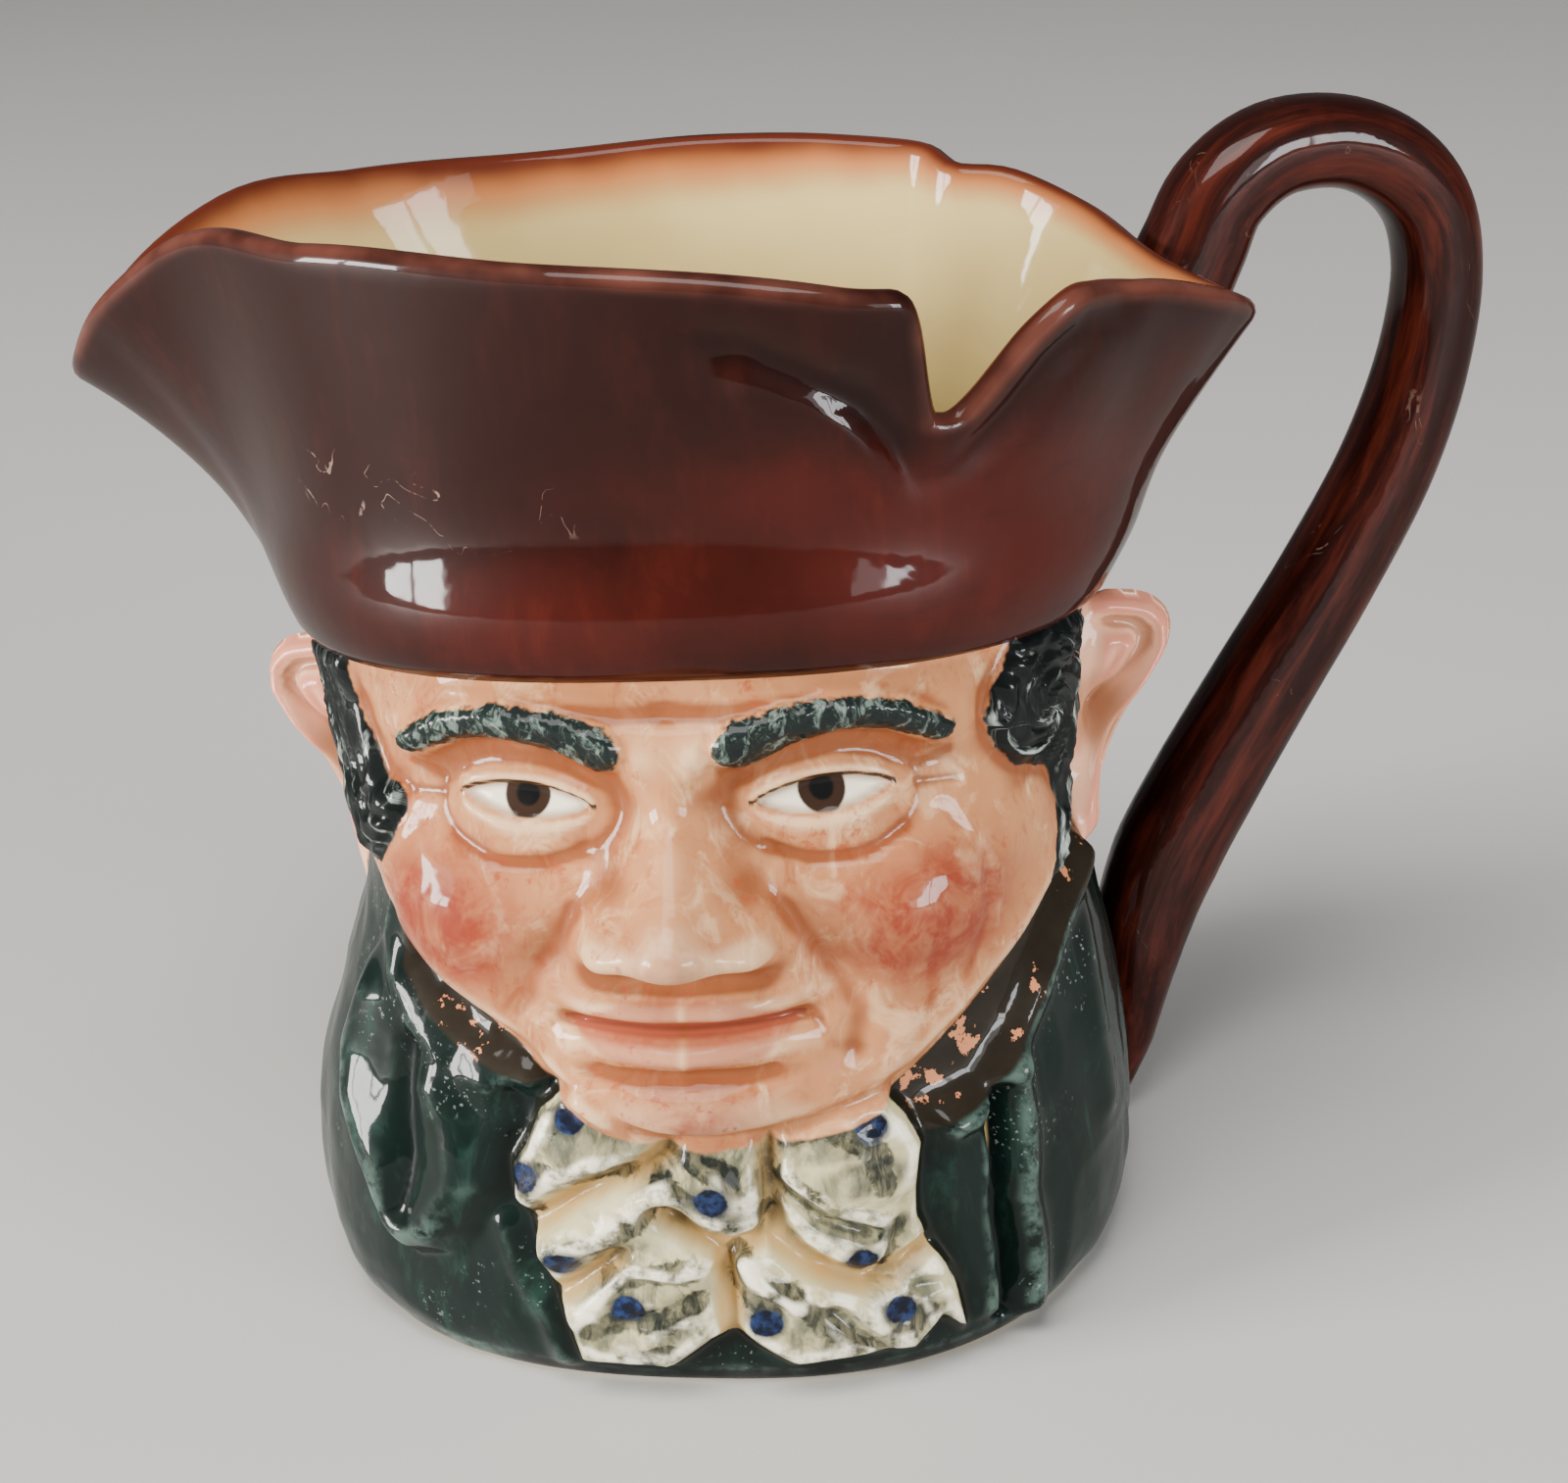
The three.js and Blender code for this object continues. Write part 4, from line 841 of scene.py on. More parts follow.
def joined(base, others):
    """Fuses the others into the base, so that one closed skin is left."""
    for other in others:
        cut = base.modifiers.new("join", "BOOLEAN")
        cut.operation = "UNION"
        cut.solver = "MANIFOLD"
        cut.object = other
        nothing_selected()
        base.select_set(True)
        bpy.context.view_layer.objects.active = base
        bpy.ops.object.modifier_apply(modifier=cut.name)
        bpy.data.objects.remove(other, do_unlink=True)
    return base


def edges_of(piece):
    """Numbers of the two points at the ends of each edge."""
    pairs = np.empty(len(piece.data.edges) * 2, int)
    piece.data.edges.foreach_get("vertices", pairs)
    return pairs.reshape(-1, 2)


def neighbour_mean(values, pairs):
    """Mean of each point's neighbours along the mesh's edges."""
    count = len(values)
    a, b = pairs.T
    share = np.bincount(a, minlength=count) + np.bincount(b, minlength=count)
    total = np.stack([np.bincount(a, values[b, k], count) + np.bincount(b, values[a, k], count)
                      for k in range(values.shape[1])], -1)
    return total / np.maximum(share, 1)[:, None]


def point_marks(piece):
    """Lowest and highest mark of the faces round each point."""
    mesh = piece.data
    marks = np.empty(len(mesh.polygons), int)
    sizes = np.empty(len(mesh.polygons), int)
    corners = np.empty(len(mesh.loops), int)
    mesh.polygons.foreach_get("material_index", marks)
    mesh.polygons.foreach_get("loop_total", sizes)
    mesh.loops.foreach_get("vertex_index", corners)
    spread = np.repeat(marks, sizes)
    low = np.full(len(mesh.vertices), 9)
    high = np.full(len(mesh.vertices), -1)
    np.minimum.at(low, corners, spread)
    np.maximum.at(high, corners, spread)
    return low, high


def distance_to(points, others):
    """Distance from each point to the nearest of the others."""
    away = np.full(len(points), 1e9)
    for start in range(0, len(others), CHUNK):
        gap = np.linalg.norm(points[:, None] - others[None, start:start + CHUNK], axis=2).min(1)
        away = np.minimum(away, gap)
    return away


def soften_joints(piece, reach, rounds):
    """Rounds the inner corner where handle and ears meet the wall, as slip and glaze do."""
    points = get_vertices(piece) / MM
    pairs = edges_of(piece)
    low, high = point_marks(piece)
    away = distance_to(points, points[low != high])
    weight = smooth(reach, reach * 0.35, away)[:, None] * 0.5
    for _ in range(rounds):
        points += (neighbour_mean(points, pairs) - points) * weight
    put_vertices(piece, points)


def body_relief(t, z):
    """The solid's forms with the fine carving on them."""
    return plain_relief(t, z) + fine_relief(t, z)


def make_jug():
    """The whole jug as one closed mesh, and the line that runs along the top of its rim."""
    t = column_angles(COLUMN_COUNT, 0.55, 0.8, 1.6)
    rings = shell_rings(t, BODY_ROWS, HAT_ROWS, LIP_STEPS, INNER_HAT_ROWS, INNER_ROWS)
    foot = body_radius(t, 0 * t) - FOOT_BEVEL
    hollow = [place(t, foot * share, height + 0 * t) for share, height in FOOT_STEPS]
    rings = np.concatenate([hollow, rings])
    clay = [bpy.data.materials.new(name) for name in ("mark_wall", "mark_ear", "mark_handle")]
    shell = marked(ball_shaped_to("jug_glazed", rings), clay, WALL_MARK)
    left = marked(ball_shaped_to("left_ear", ear_rings(-1, 72, 18)), clay, EAR_MARK)
    right = marked(ball_shaped_to("right_ear", ear_rings(1, 72, 18)), clay, EAR_MARK)
    handle = marked(ball_shaped_to("handle", handle_rings(36, 120)), clay, HANDLE_MARK)
    jug = joined(shell, [left, right, handle])
    soften_joints(jug, 3.2, 14)
    hat_start = len(hollow) + 1 + len(BODY_ROWS) + 2
    rim = rings[hat_start + HAT_ROWS + LIP_STEPS // 2]
    return jug, rim


# ------------------------------------------------------------------ where each colour goes, in millimetres
SEAM_REACH = 12.0
RIM_REACH = 60.0
COLLAR_HALF = 4.2
COLLAR_DROP = 4.0
COLLAR_BAND_LEFT = [(-34.5, 62), (-32.1, 56.2), (-27.5, 51.5), (-23.6, 48), (-18.4, 44.4), (-15.4, 41.6),
                    (-18.8, 40.6), (-23, 42), (-27.7, 44), (-32, 47), (-35.6, 51), (-36.4, 55.5),
                    (-38.5, 62)]
COLLAR_BAND_RIGHT = [(60, 60), (50, 56.5), (43, 53.4), (36.4, 49.4), (31.4, 45.8), (25.4, 41.4), (21.6, 38.6),
                     (24.6, 32), (27.5, 33), (33.4, 34.6), (36.4, 37.8), (39.6, 40.8), (43, 44.6),
                     (50, 49.8), (60, 54.5)]
DOTS = [(-12.8, 38.2), (-18.1, 30.2), (1.6, 28.4), (-14.2, 19.8), (-7.7, 14), (18.7, 35.6), (16.8, 18.2),
        (6.4, 11.6), (20.3, 11.3)]
DOT_RADIUS = 1.75
GOLD_LINES = [FOLD_TOP_LEFT, KNOT_SIDE, FOLD_ACROSS, TAIL_PARTING, FOLD_LOW_LEFT]
GOLD_WIDE = 2.2
GREY_WASHES = [(-12, 34.5, 6.2, 3.4), (-15.5, 31, 3.4, 2.6), (2.4, 29.6, 7.4, 6.6), (13, 34.4, 5, 2.2),
               (17.5, 29.6, 4.4, 2.2), (-10.5, 21.5, 5.2, 2), (-6, 15, 6, 3.4), (-11, 9, 4, 3),
               (-3, 10, 3, 3), (13, 9.6, 4.4, 3.4), (21, 13, 3.4, 3), (7, 13.4, 2.8, 3),
               (18, 22, 5, 1.6), (12, 22, 2.4, 2.4), (6, 27, 3.2, 4.2), (6, 7, 2.4, 2.4), (24, 8, 2.4, 3)]
INK_LINES = [[(-16, 31.2), (-12, 30.4), (-7.6, 31.4)],
             [(-3.5, 30.5), (-1, 28), (1.5, 25.8), (5, 25), (7, 26)], [(0, 33), (3, 31.4), (4.6, 27)],
             [(9.4, 30.4), (13, 26), (18.6, 23.4)],
             [(-15, 20.8), (-9, 23.4), (-5, 27)],
             [(-9.5, 17.6), (-6, 18.6), (-1, 19)],
             [(-12, 10.5), (-8.8, 12.4), (-4, 12), (-0.6, 14.6)],
             [(4, 20), (4.6, 16), (7, 13)],
             [(8, 16), (12, 12.4), (15, 8)],
             [(-18, 26), (-19.4, 31), (-17, 36), (-12.5, 39.4)],
             [(10, 35.5), (14, 36.4), (18.6, 33), (19.5, 28)],
             [(20.4, 22), (19, 17.4)],
             [(-9, 6), (-3.4, 8)], [(18, 7), (23, 10.4)]]
INK_WIDE = 1.5
IRIS = 2.9
MOUTH = [(0, 54.6), (6, 54), (13.4, 50.7), (8, 46.4), (0, 45.2)]


def set_values(piece, name, values):
    """Stores one value on each point, for the glaze to read."""
    layer = piece.data.attributes.new(name, "FLOAT", "POINT")
    layer.data.foreach_set("value", np.asarray(values, np.float32))


def set_directions(piece, name, values):
    """Stores one vector on each point, for the glaze to read."""
    layer = piece.data.attributes.new(name, "FLOAT_VECTOR", "POINT")
    layer.data.foreach_set("vector", np.asarray(values, np.float32).ravel())


def normals_of(piece):
    """Direction in which each point's surface faces."""
    flat = np.empty(len(piece.data.vertices) * 3)
    piece.data.vertices.foreach_get("normal", flat)
    return flat.reshape(-1, 3)


def hollows(piece, points, rounds):
    """How far each point lies below (+) or stands above (-) the smoothed surface, in mm."""
    pairs = edges_of(piece)
    soft = points.copy()
    for _ in range(rounds):
        soft += (neighbour_mean(soft, pairs) - soft) * 0.6
    return ((soft - points) * normals_of(piece)).sum(1)


def seam_distance(points, low, high, mark):
    """Distance to the seam round the faces with one mark, positive on them."""
    seam = points[(low != high) & (high == mark)]
    away = np.minimum(distance_to(points, seam), SEAM_REACH)
    return np.where(high == mark, away, -away)


def handle_flow(points):
    """Place in the handle's cross-section and distance along it, in mm."""
    rings = handle_rings(4, 240)
    middle = rings.mean(1)
    nearest = np.argmin(np.linalg.norm(points[:, None] - middle[None], axis=2), 1)
    length = np.cumsum(np.r_[0, np.linalg.norm(np.diff(middle, axis=0), axis=1)])
    side = unit(rings[:, 0] - middle)[nearest]
    flat = unit(rings[:, 1] - middle)[nearest]
    away = points - middle[nearest]
    return np.stack([(away * side).sum(1), (away * flat).sum(1), length[nearest]], -1)


def mark_shell(jug, points, t, rim):
    """Handle, ears, inside, rim, hat and height."""
    low, high = point_marks(jug)
    r = np.hypot(points[:, 0], points[:, 1])
    z = points[:, 2]
    set_values(jug, "handle", seam_distance(points, low, high, HANDLE_MARK))
    set_values(jug, "ear", seam_distance(points, low, high, EAR_MARK))
    bowls = [ear_point(side, np.array([3.2]), np.array([68.0]), np.array([0.0]))[0] for side in (-1, 1)]
    set_values(jug, "bowl", np.max([bell(np.linalg.norm(points - p, axis=1), 0, 5.2) for p in bowls], axis=0))
    outside = np.where(z < hat_edge(t), body_radius(t, z), hat_radius(t, z))
    facing = (normals_of(jug)[:, :2] * points[:, :2]).sum(1) / np.maximum(r, 1)
    depth = np.where(facing < -0.2, np.maximum(outside - r, 3), outside - r)
    set_values(jug, "inner", np.where(high == WALL_MARK, depth, 0))
    from_rim = np.minimum(distance_to(points, rim), RIM_REACH)
    narrow = 1 + 1.4 * bell(deg(wrap(t - rad(95))), 0, 50)
    set_values(jug, "rim", from_rim)
    set_values(jug, "fade", from_rim * narrow)
    set_values(jug, "hat", z - hat_edge(t))
    set_values(jug, "height", z)


def mark_head(jug, points, x, z, on_handle):
    """Hair, brows, eyes, mouth, blushes, and the way the strands and the handle's grain run."""
    s = np.abs(x)
    set_values(jug, "neck", z - neck_line(x))
    set_values(jug, "hair", np.maximum(hair_inside(x, z), back_hair(x, z)))
    away, run = to_line(s, z, BROW)
    set_values(jug, "brow", lerp(3.1, 1.5, run) - away)
    a, b = s - EYE_ACROSS, z - EYE_UP
    upper, lower = eye_lids(a)
    set_values(jug, "eye", np.where(np.abs(a) < EYE_LONG + 1, np.minimum(upper - b, b - lower), -3))
    set_values(jug, "lash", np.where(np.abs(a) < EYE_LONG + 0.6, 0.5 - np.abs(b - upper - 0.1), -1))
    set_values(jug, "iris", IRIS - np.hypot(a, b - 0.7))
    set_values(jug, "lips", inside_by(s, z, MOUTH))
    set_values(jug, "crease", 0.55 - np.abs(z - 50.2 - 0.003 * s * s) + np.where(s > 13, 13 - s, 0))
    cheek = mound(s, z, 27, 60.5, 11, 9, 1)
    chin = mound(x, z, 0, 39.6, 9, 4.4, 0.6)
    nose = mound(x, z, 0, 62.5, 6, 4.6, 0.45)
    set_values(jug, "blush", np.max([cheek, chin, nose], axis=0))
    across, along = strands(x, z)
    behind = smooth(54, 58, s)
    across = lerp(across, x + 0.25 * z * np.sign(x), behind)
    along = lerp(along, z, behind)
    flow = np.stack([across, along, 0 * across], -1)
    flow[on_handle] = handle_flow(points[on_handle])
    set_directions(jug, "flow", flow)


def mark_dress(jug, x, z):
    """Collar and cravat, with its dots, gold, washes and ink."""
    set_values(jug, "cravat", inside_by(x, z, CRAVAT))
    front_bands = np.maximum(inside_by(x, z, COLLAR_BAND_LEFT), inside_by(x, z, COLLAR_BAND_RIGHT))
    round_back = COLLAR_HALF - np.abs(neck_line(x) - z - COLLAR_DROP)
    set_values(jug, "collar", np.maximum(front_bands, np.minimum(round_back, np.abs(x) - 54)))
    set_values(jug, "dots", DOT_RADIUS - np.min([np.hypot(x - a, z - b) for a, b in DOTS], axis=0))
    for name, lines, wide in (("gold", GOLD_LINES, GOLD_WIDE), ("ink", INK_LINES, INK_WIDE)):
        set_values(jug, name, np.max([bell(to_line(x, z, line)[0], 0, wide) for line in lines], axis=0))
    set_values(jug, "wash", np.max([mound(x, z, *wash, 1) for wash in GREY_WASHES], axis=0))


def mark_wear(jug, x, z, angle, on_handle):
    """Bare patches of the collar, the redder parts of the hat, and where it is scratched."""
    set_values(jug, "worn", mound(x, z, -27, 46, 7, 5, 0.075) + mound(x, z, 28, 41, 5, 4, 0.05))
    red = mound(angle, z, 48, 103, 30, 15, 1) + mound(angle, z, -18, 98, 40, 9, 0.55)
    set_values(jug, "red", np.clip(red + mound(angle, z, 20, 112, 26, 6, 0.3), 0, 1))
    marks = mound(angle, z, -24, 111, 17, 5, 1) + mound(angle, z, -46, 113, 9, 5, 0.9)
    set_values(jug, "marks", marks + mound(angle, z, 46, 110, 8, 6, 0.3) + 0.35 * on_handle)


def mark_hollows(jug, points, t, on_wall):
    """Hollows and ridges of the surface, without the step under the hat."""
    dip = hollows(jug, points, 26)
    below = hat_edge(t) - points[:, 2]
    set_values(jug, "dip", np.where((below > 0) & on_wall, dip * smooth(0.5, 5, below), dip))


def mark_paint(jug, rim):
    """Writes on each point where it lies in every painted area."""
    points = get_vertices(jug) / MM
    marks = point_marks(jug)[1]
    t = np.arctan2(points[:, 0], -points[:, 1])
    x, z = t * FACE_ARC, points[:, 2]
    mark_shell(jug, points, t, rim)
    mark_head(jug, points, x, z, marks == HANDLE_MARK)
    mark_dress(jug, x, z)
    mark_wear(jug, x, z, deg(t), marks == HANDLE_MARK)
    mark_hollows(jug, points, t, marks == WALL_MARK)


# ------------------------------------------------------------------ glazes and colours
def tint(code):
    """A linear colour from a six-figure hex code."""
    parts = [int(code[i:i + 2], 16) / 255 for i in (0, 2, 4)]
    return tuple(p / 12.92 if p < 0.04045 else ((p + 0.055) / 1.055) ** 2.4 for p in parts) + (1.0,)


class Finish:
    """Adds the nodes of one painted finish to a material."""

    def __init__(self, name):
        self.material = bpy.data.materials.new(name)
        self.material.use_nodes = True
        self.tree = self.material.node_tree
        self.shader = self.tree.nodes["Principled BSDF"]
        self.place = self.tree.nodes.new("ShaderNodeTexCoord").outputs["Object"]

    def link(self, source, socket):
        """Joins an output, or a plain number or colour, to a socket."""
        if isinstance(source, (int, float, tuple)):
            socket.default_value = source
        else:
            self.tree.links.new(source, socket)

    def value(self, name):
        """A number stored on the points."""
        node = self.tree.nodes.new("ShaderNodeAttribute")
        node.attribute_name = name
        return node.outputs["Fac"]

    def direction(self, name):
        """A vector stored on the points."""
        node = self.tree.nodes.new("ShaderNodeAttribute")
        node.attribute_name = name
        return node.outputs["Vector"]

    def math(self, kind, a, b=0.0, c=0.0):
        """One step of arithmetic."""
        node = self.tree.nodes.new("ShaderNodeMath")
        node.operation = kind
        for source, socket in zip((a, b, c), node.inputs):
            self.link(source, socket)
        return node.outputs[0]

    def noise(self, size_mm, detail=2.0, rough=0.5, stretch=(1, 1, 1), move=0.0, warp=0.0, space=None):
        """Cloudy pattern from 0 to 1, with spots about size_mm across."""
        move_node = self.tree.nodes.new("ShaderNodeMapping")
        move_node.inputs["Location"].default_value = (move, move * 0.7, -move)
        move_node.inputs["Scale"].default_value = stretch
        self.link(space or self.place, move_node.inputs["Vector"])
        node = self.tree.nodes.new("ShaderNodeTexNoise")
        node.inputs["Scale"].default_value = (1 if space else 1000) / size_mm
        node.inputs["Detail"].default_value = detail
        node.inputs["Roughness"].default_value = rough
        node.inputs["Distortion"].default_value = warp
        self.link(move_node.outputs["Vector"], node.inputs["Vector"])
        return node.outputs["Fac"]

    def step(self, source, start, end):
        """0 below start, 1 above end, smooth between; start may be the larger."""
        node = self.tree.nodes.new("ShaderNodeMapRange")
        node.interpolation_type = "SMOOTHSTEP"
        self.link(source, node.inputs["Value"])
        node.inputs["From Min"].default_value = start
        node.inputs["From Max"].default_value = end
        return node.outputs["Result"]

    def ragged(self, source, size_mm, amount, soft=0.15, at=0.0, move=0.0):
        """The part where a distance is above a value, with a hand-painted, uneven edge."""
        uneven = self.math("MULTIPLY_ADD", self.noise(size_mm, 2, 0.6, move=move), amount * 2, -amount)
        return self.step(self.math("ADD", source, uneven), at - soft, at + soft)

    def blend(self, amount, under, over):
        """One colour laid over another by an amount from 0 to 1."""
        node = self.tree.nodes.new("ShaderNodeMix")
        node.data_type = "RGBA"
        self.link(amount, node.inputs["Factor"])
        self.link(under, node.inputs["A"])
        self.link(over, node.inputs["B"])
        return node.outputs["Result"]

    def times(self, *parts):
        """The product of all the parts."""
        product = parts[0]
        for part in parts[1:]:
            product = self.math("MULTIPLY", product, part)
        return product


def paint_skin(f):
    """Peach glaze with warm brown in the hollows, partly a brushed wash and partly painted shade, and pale
    cream on the raised parts as a painted highlight.
    """
    patchy = f.noise(9, 4, 0.6, move=3)
    skin = f.blend(patchy, tint("a4633b"), tint("c08a5e"))
    strokes = f.noise(4.6, 4, 0.72, stretch=(1, 1, 0.55), move=60, warp=0.9)
    skin = f.blend(f.times(f.step(strokes, 0.5, 0.72), 0.58), skin, tint("8c421f"))
    pale = f.step(f.noise(5.4, 4, 0.66, stretch=(1, 1, 0.7), move=61, warp=0.8), 0.5, 0.7)
    skin = f.blend(f.times(pale, 0.55), skin, tint("e2bd90"))
    dip = f.value("dip")
    edge = f.step(f.value("neck"), 0.5, 6.0)
    # Warm brown in the hollows, partly a brushed wash and partly painted shade, weaker near the collar line.
    brown = f.times(f.step(dip, 0.0, 0.34), f.math("MULTIPLY_ADD", edge, 0.58, 0.22))
    skin = f.blend(brown, skin, tint("733617"))
    # Painted highlight: pale cream on the raised parts of the face.
    skin = f.blend(f.times(f.step(dip, -0.1, -0.6), 0.5), skin, tint("e6c79c"))
    speck = f.step(f.noise(2.2, 3, 0.7, move=9), 0.55, 0.68)
    speck = f.times(speck, f.step(f.noise(14, 2, move=5), 0.45, 0.65))
    skin = f.blend(f.times(speck, 0.65), skin, tint("9a3c1e"))
    streak = f.step(f.noise(5, 3, 0.7, move=2, warp=0.6), 0.3, 0.66)
    blush = f.times(f.step(f.value("blush"), 0.03, 0.75), f.math("MULTIPLY_ADD", streak, 0.4, 0.6))
    skin = f.blend(f.times(blush, 0.92), skin, tint("782215"))
    lips = f.times(f.step(f.value("lips"), -0.3, 0.9), 0.6)
    skin = f.blend(lips, skin, tint("9c4534"))
    return f.blend(f.times(f.step(f.value("crease"), 0, 0.45), 0.8), skin, tint("5f2617"))


def paint_eyes(f, skin):
    """Eyes painted over the skin, with painted shade on the whites next to the lids and a dark line along the
    upper lid.
    """
    eye = f.value("eye")
    # The whites darken towards the lids: painted shade.
    shaded_white = f.blend(f.step(eye, 1.3, 0.1), tint("e6dcc4"), tint("a98f74"))
    colour = f.blend(f.step(eye, 0.0, 0.3), skin, shaded_white)
    iris = f.value("iris")
    shown = f.step(eye, 0.0, 0.3)
    colour = f.blend(f.times(f.step(iris, 0.0, 0.35), shown), colour, tint("2b1c13"))
    colour = f.blend(f.times(f.step(iris, 1.3, 1.7), shown), colour, tint("080808"))
    return f.blend(f.times(f.step(f.value("lash"), 0.0, 0.3), 0.95), colour, tint("1c120e"))


def paint_hair(f, under):
    """Black hair and brows, with grey streaks that are strongest on the raised locks as a painted highlight.
    """
    streaks = f.noise(2.0, 4, 0.65, stretch=(1, 0.12, 1), move=4, warp=0.5, space=f.direction("flow"))
    light = f.step(streaks, 0.52, 0.65)
    # Painted highlight: the grey streaks are laid most strongly on the raised locks.
    ridge = f.step(f.value("dip"), 0.04, -0.2)
    hair = f.blend(f.times(light, f.math("MULTIPLY_ADD", ridge, 0.7, 0.16)), tint("0a0f0e"), tint("b4bdb5"))
    colour = f.blend(f.ragged(f.value("hair"), 2.2, 0.5, 0.15), under, hair)
    slanted = f.noise(1.7, 4, 0.7, stretch=(1, 1, 0.45), move=8, warp=0.8)
    brow = f.blend(f.times(f.step(slanted, 0.5, 0.7), 0.8), tint("151d1b"), tint("75857b"))
    return f.blend(f.ragged(f.value("brow"), 1.6, 0.7, 0.2, move=6), colour, brow)


def paint_coat(f):
    """Dark green coat, paler on its raised edges where the glaze wears and as a painted highlight, with
    painted shade in its hollows, a brown collar with bare patches, and a black edge at the foot.
    """
    dip = f.value("dip")
    cloudy = f.noise(16, 3, 0.55, move=7)
    coat = f.blend(cloudy, tint("020907"), tint("0a1a16"))
    brushed = f.step(f.noise(6, 4, 0.7, stretch=(1, 1, 0.4), move=62, warp=1.0), 0.5, 0.74)
    coat = f.blend(f.times(brushed, 0.55), coat, tint("1d3a31"))
    # Paler grey-green on the raised edges, partly wear and partly a painted highlight.
    worn = f.times(f.step(dip, -0.2, -0.75), f.step(f.noise(3, 4, 0.65, move=12), 0.38, 0.62))
    coat = f.blend(f.times(worn, 0.62), coat, tint("566b62"))
    # Painted shade: near black in the hollows of the coat.
    coat = f.blend(f.times(f.step(dip, 0.1, 0.7), 0.75), coat, tint("040a09"))
    pits = f.step(f.noise(0.75, 2, 0.6, move=63), 0.62, 0.7)
    pits = f.times(pits, f.step(f.noise(17, 2, 0.5, move=66), 0.55, 0.66))
    coat = f.blend(f.times(pits, 0.42), coat, tint("9aa69d"))
    collar = f.blend(f.noise(7, 4, 0.6, stretch=(1, 1, 2), move=1), tint("110e0a"), tint("2c251b"))
    bare = f.step(f.math("ADD", f.noise(3.8, 5, 0.66, move=15), f.value("worn")), 0.615, 0.63)
    collar = f.blend(bare, collar, tint("bf7c55"))
    coat = f.blend(f.ragged(f.value("collar"), 3, 0.35, 0.3, at=0.2), coat, collar)
    base = f.times(f.step(f.value("height"), 4.2, 2.2), f.step(f.value("cravat"), -16, -8))
    return f.blend(f.times(base, 0.9), coat, tint("060809"))


def paint_cravat(f, under):
    """Cream cloth with gold in its folds, grey-green washes, ink lines and blue dots, with painted shade in
    its hollows and painted highlights on its raised parts.
    """
    dip = f.value("dip")
    cloth = f.blend(f.noise(6, 3, 0.5, move=18), tint("a99d70"), tint("cac29a"))
    uneven = f.math("MULTIPLY_ADD", f.noise(5, 2, move=20), 0.6, 0.5)
    gold = f.times(f.step(f.value("gold"), 0.35, 0.95), uneven)
    cloth = f.blend(gold, cloth, tint("ab8346"))
    smear = f.step(f.noise(6.5, 4, 0.6, move=24, warp=1.4), 0.46, 0.66)
    cloth = f.blend(f.times(smear, 0.42, f.step(f.value("gold"), 0.7, 0.3)), cloth, tint("5f624f"))
    sweep = f.noise(6.5, 4, 0.6, stretch=(1.3, 1, 0.7), move=22, warp=1.2)
    brush = f.step(sweep, 0.36, 0.56)
    deep = f.step(f.noise(5.0, 4, 0.6, move=27, warp=1.0), 0.4, 0.62)
    shade = f.blend(deep, tint("3f453b"), tint("101412"))
    hairs = f.step(f.noise(1.9, 4, 0.65, stretch=(1.0, 1, 0.35), move=21, warp=0.8), 0.36, 0.66)
    wash = f.times(f.step(f.value("wash"), 0.1, 0.5), f.math("MULTIPLY_ADD", brush, 0.7, 0.2))
    cloth = f.blend(f.times(wash, f.math("MULTIPLY_ADD", hairs, 0.35, 0.62)), cloth, shade)
    rough = f.noise(3.2, 4, 0.66, move=23, warp=1.2)
    ink = f.step(f.math("MULTIPLY_ADD", rough, 1.3, f.value("ink")), 0.94, 1.2)
    cloth = f.blend(f.times(ink, f.math("MULTIPLY_ADD", hairs, 0.4, 0.56)), cloth, tint("141917"))
    # Painted shade: dark olive in the hollows, kept off the gold.
    dark = f.times(f.step(dip, 0.1, 0.4), f.step(f.noise(4, 4, 0.7, move=29, warp=1), 0.4, 0.55))
    cloth = f.blend(f.times(dark, 0.6, f.step(f.value("gold"), 0.5, 0.1)), cloth, tint("2f332a"))
    lit = f.times(f.step(dip, -0.22, -0.55), f.step(f.noise(3, 4, 0.6, move=28), 0.35, 0.6))
    cloth = f.blend(f.times(lit, 0.85), cloth, tint("f1ead0"))
    ring = f.ragged(f.value("dots"), 1.8, 0.35, 0.5, at=-0.5, move=2)
    cloth = f.blend(f.times(ring, 0.65), cloth, tint("20282a"))
    dot = f.blend(f.step(f.noise(1.6, 3, 0.6, move=26), 0.4, 0.7), tint("090d1a"), tint("1f2f52"))
    cloth = f.blend(f.ragged(f.value("dots"), 1.4, 0.3, 0.18, move=5), cloth, dot)
    line = f.times(f.step(f.value("cravat"), 0.8, -0.3), f.step(f.value("cravat"), -1.6, -0.6))
    coloured = f.blend(f.times(line, 0.9), under, tint("14140d"))
    return f.blend(f.ragged(f.value("cravat"), 2.4, 0.3, 0.12, at=0.15), coloured, cloth)


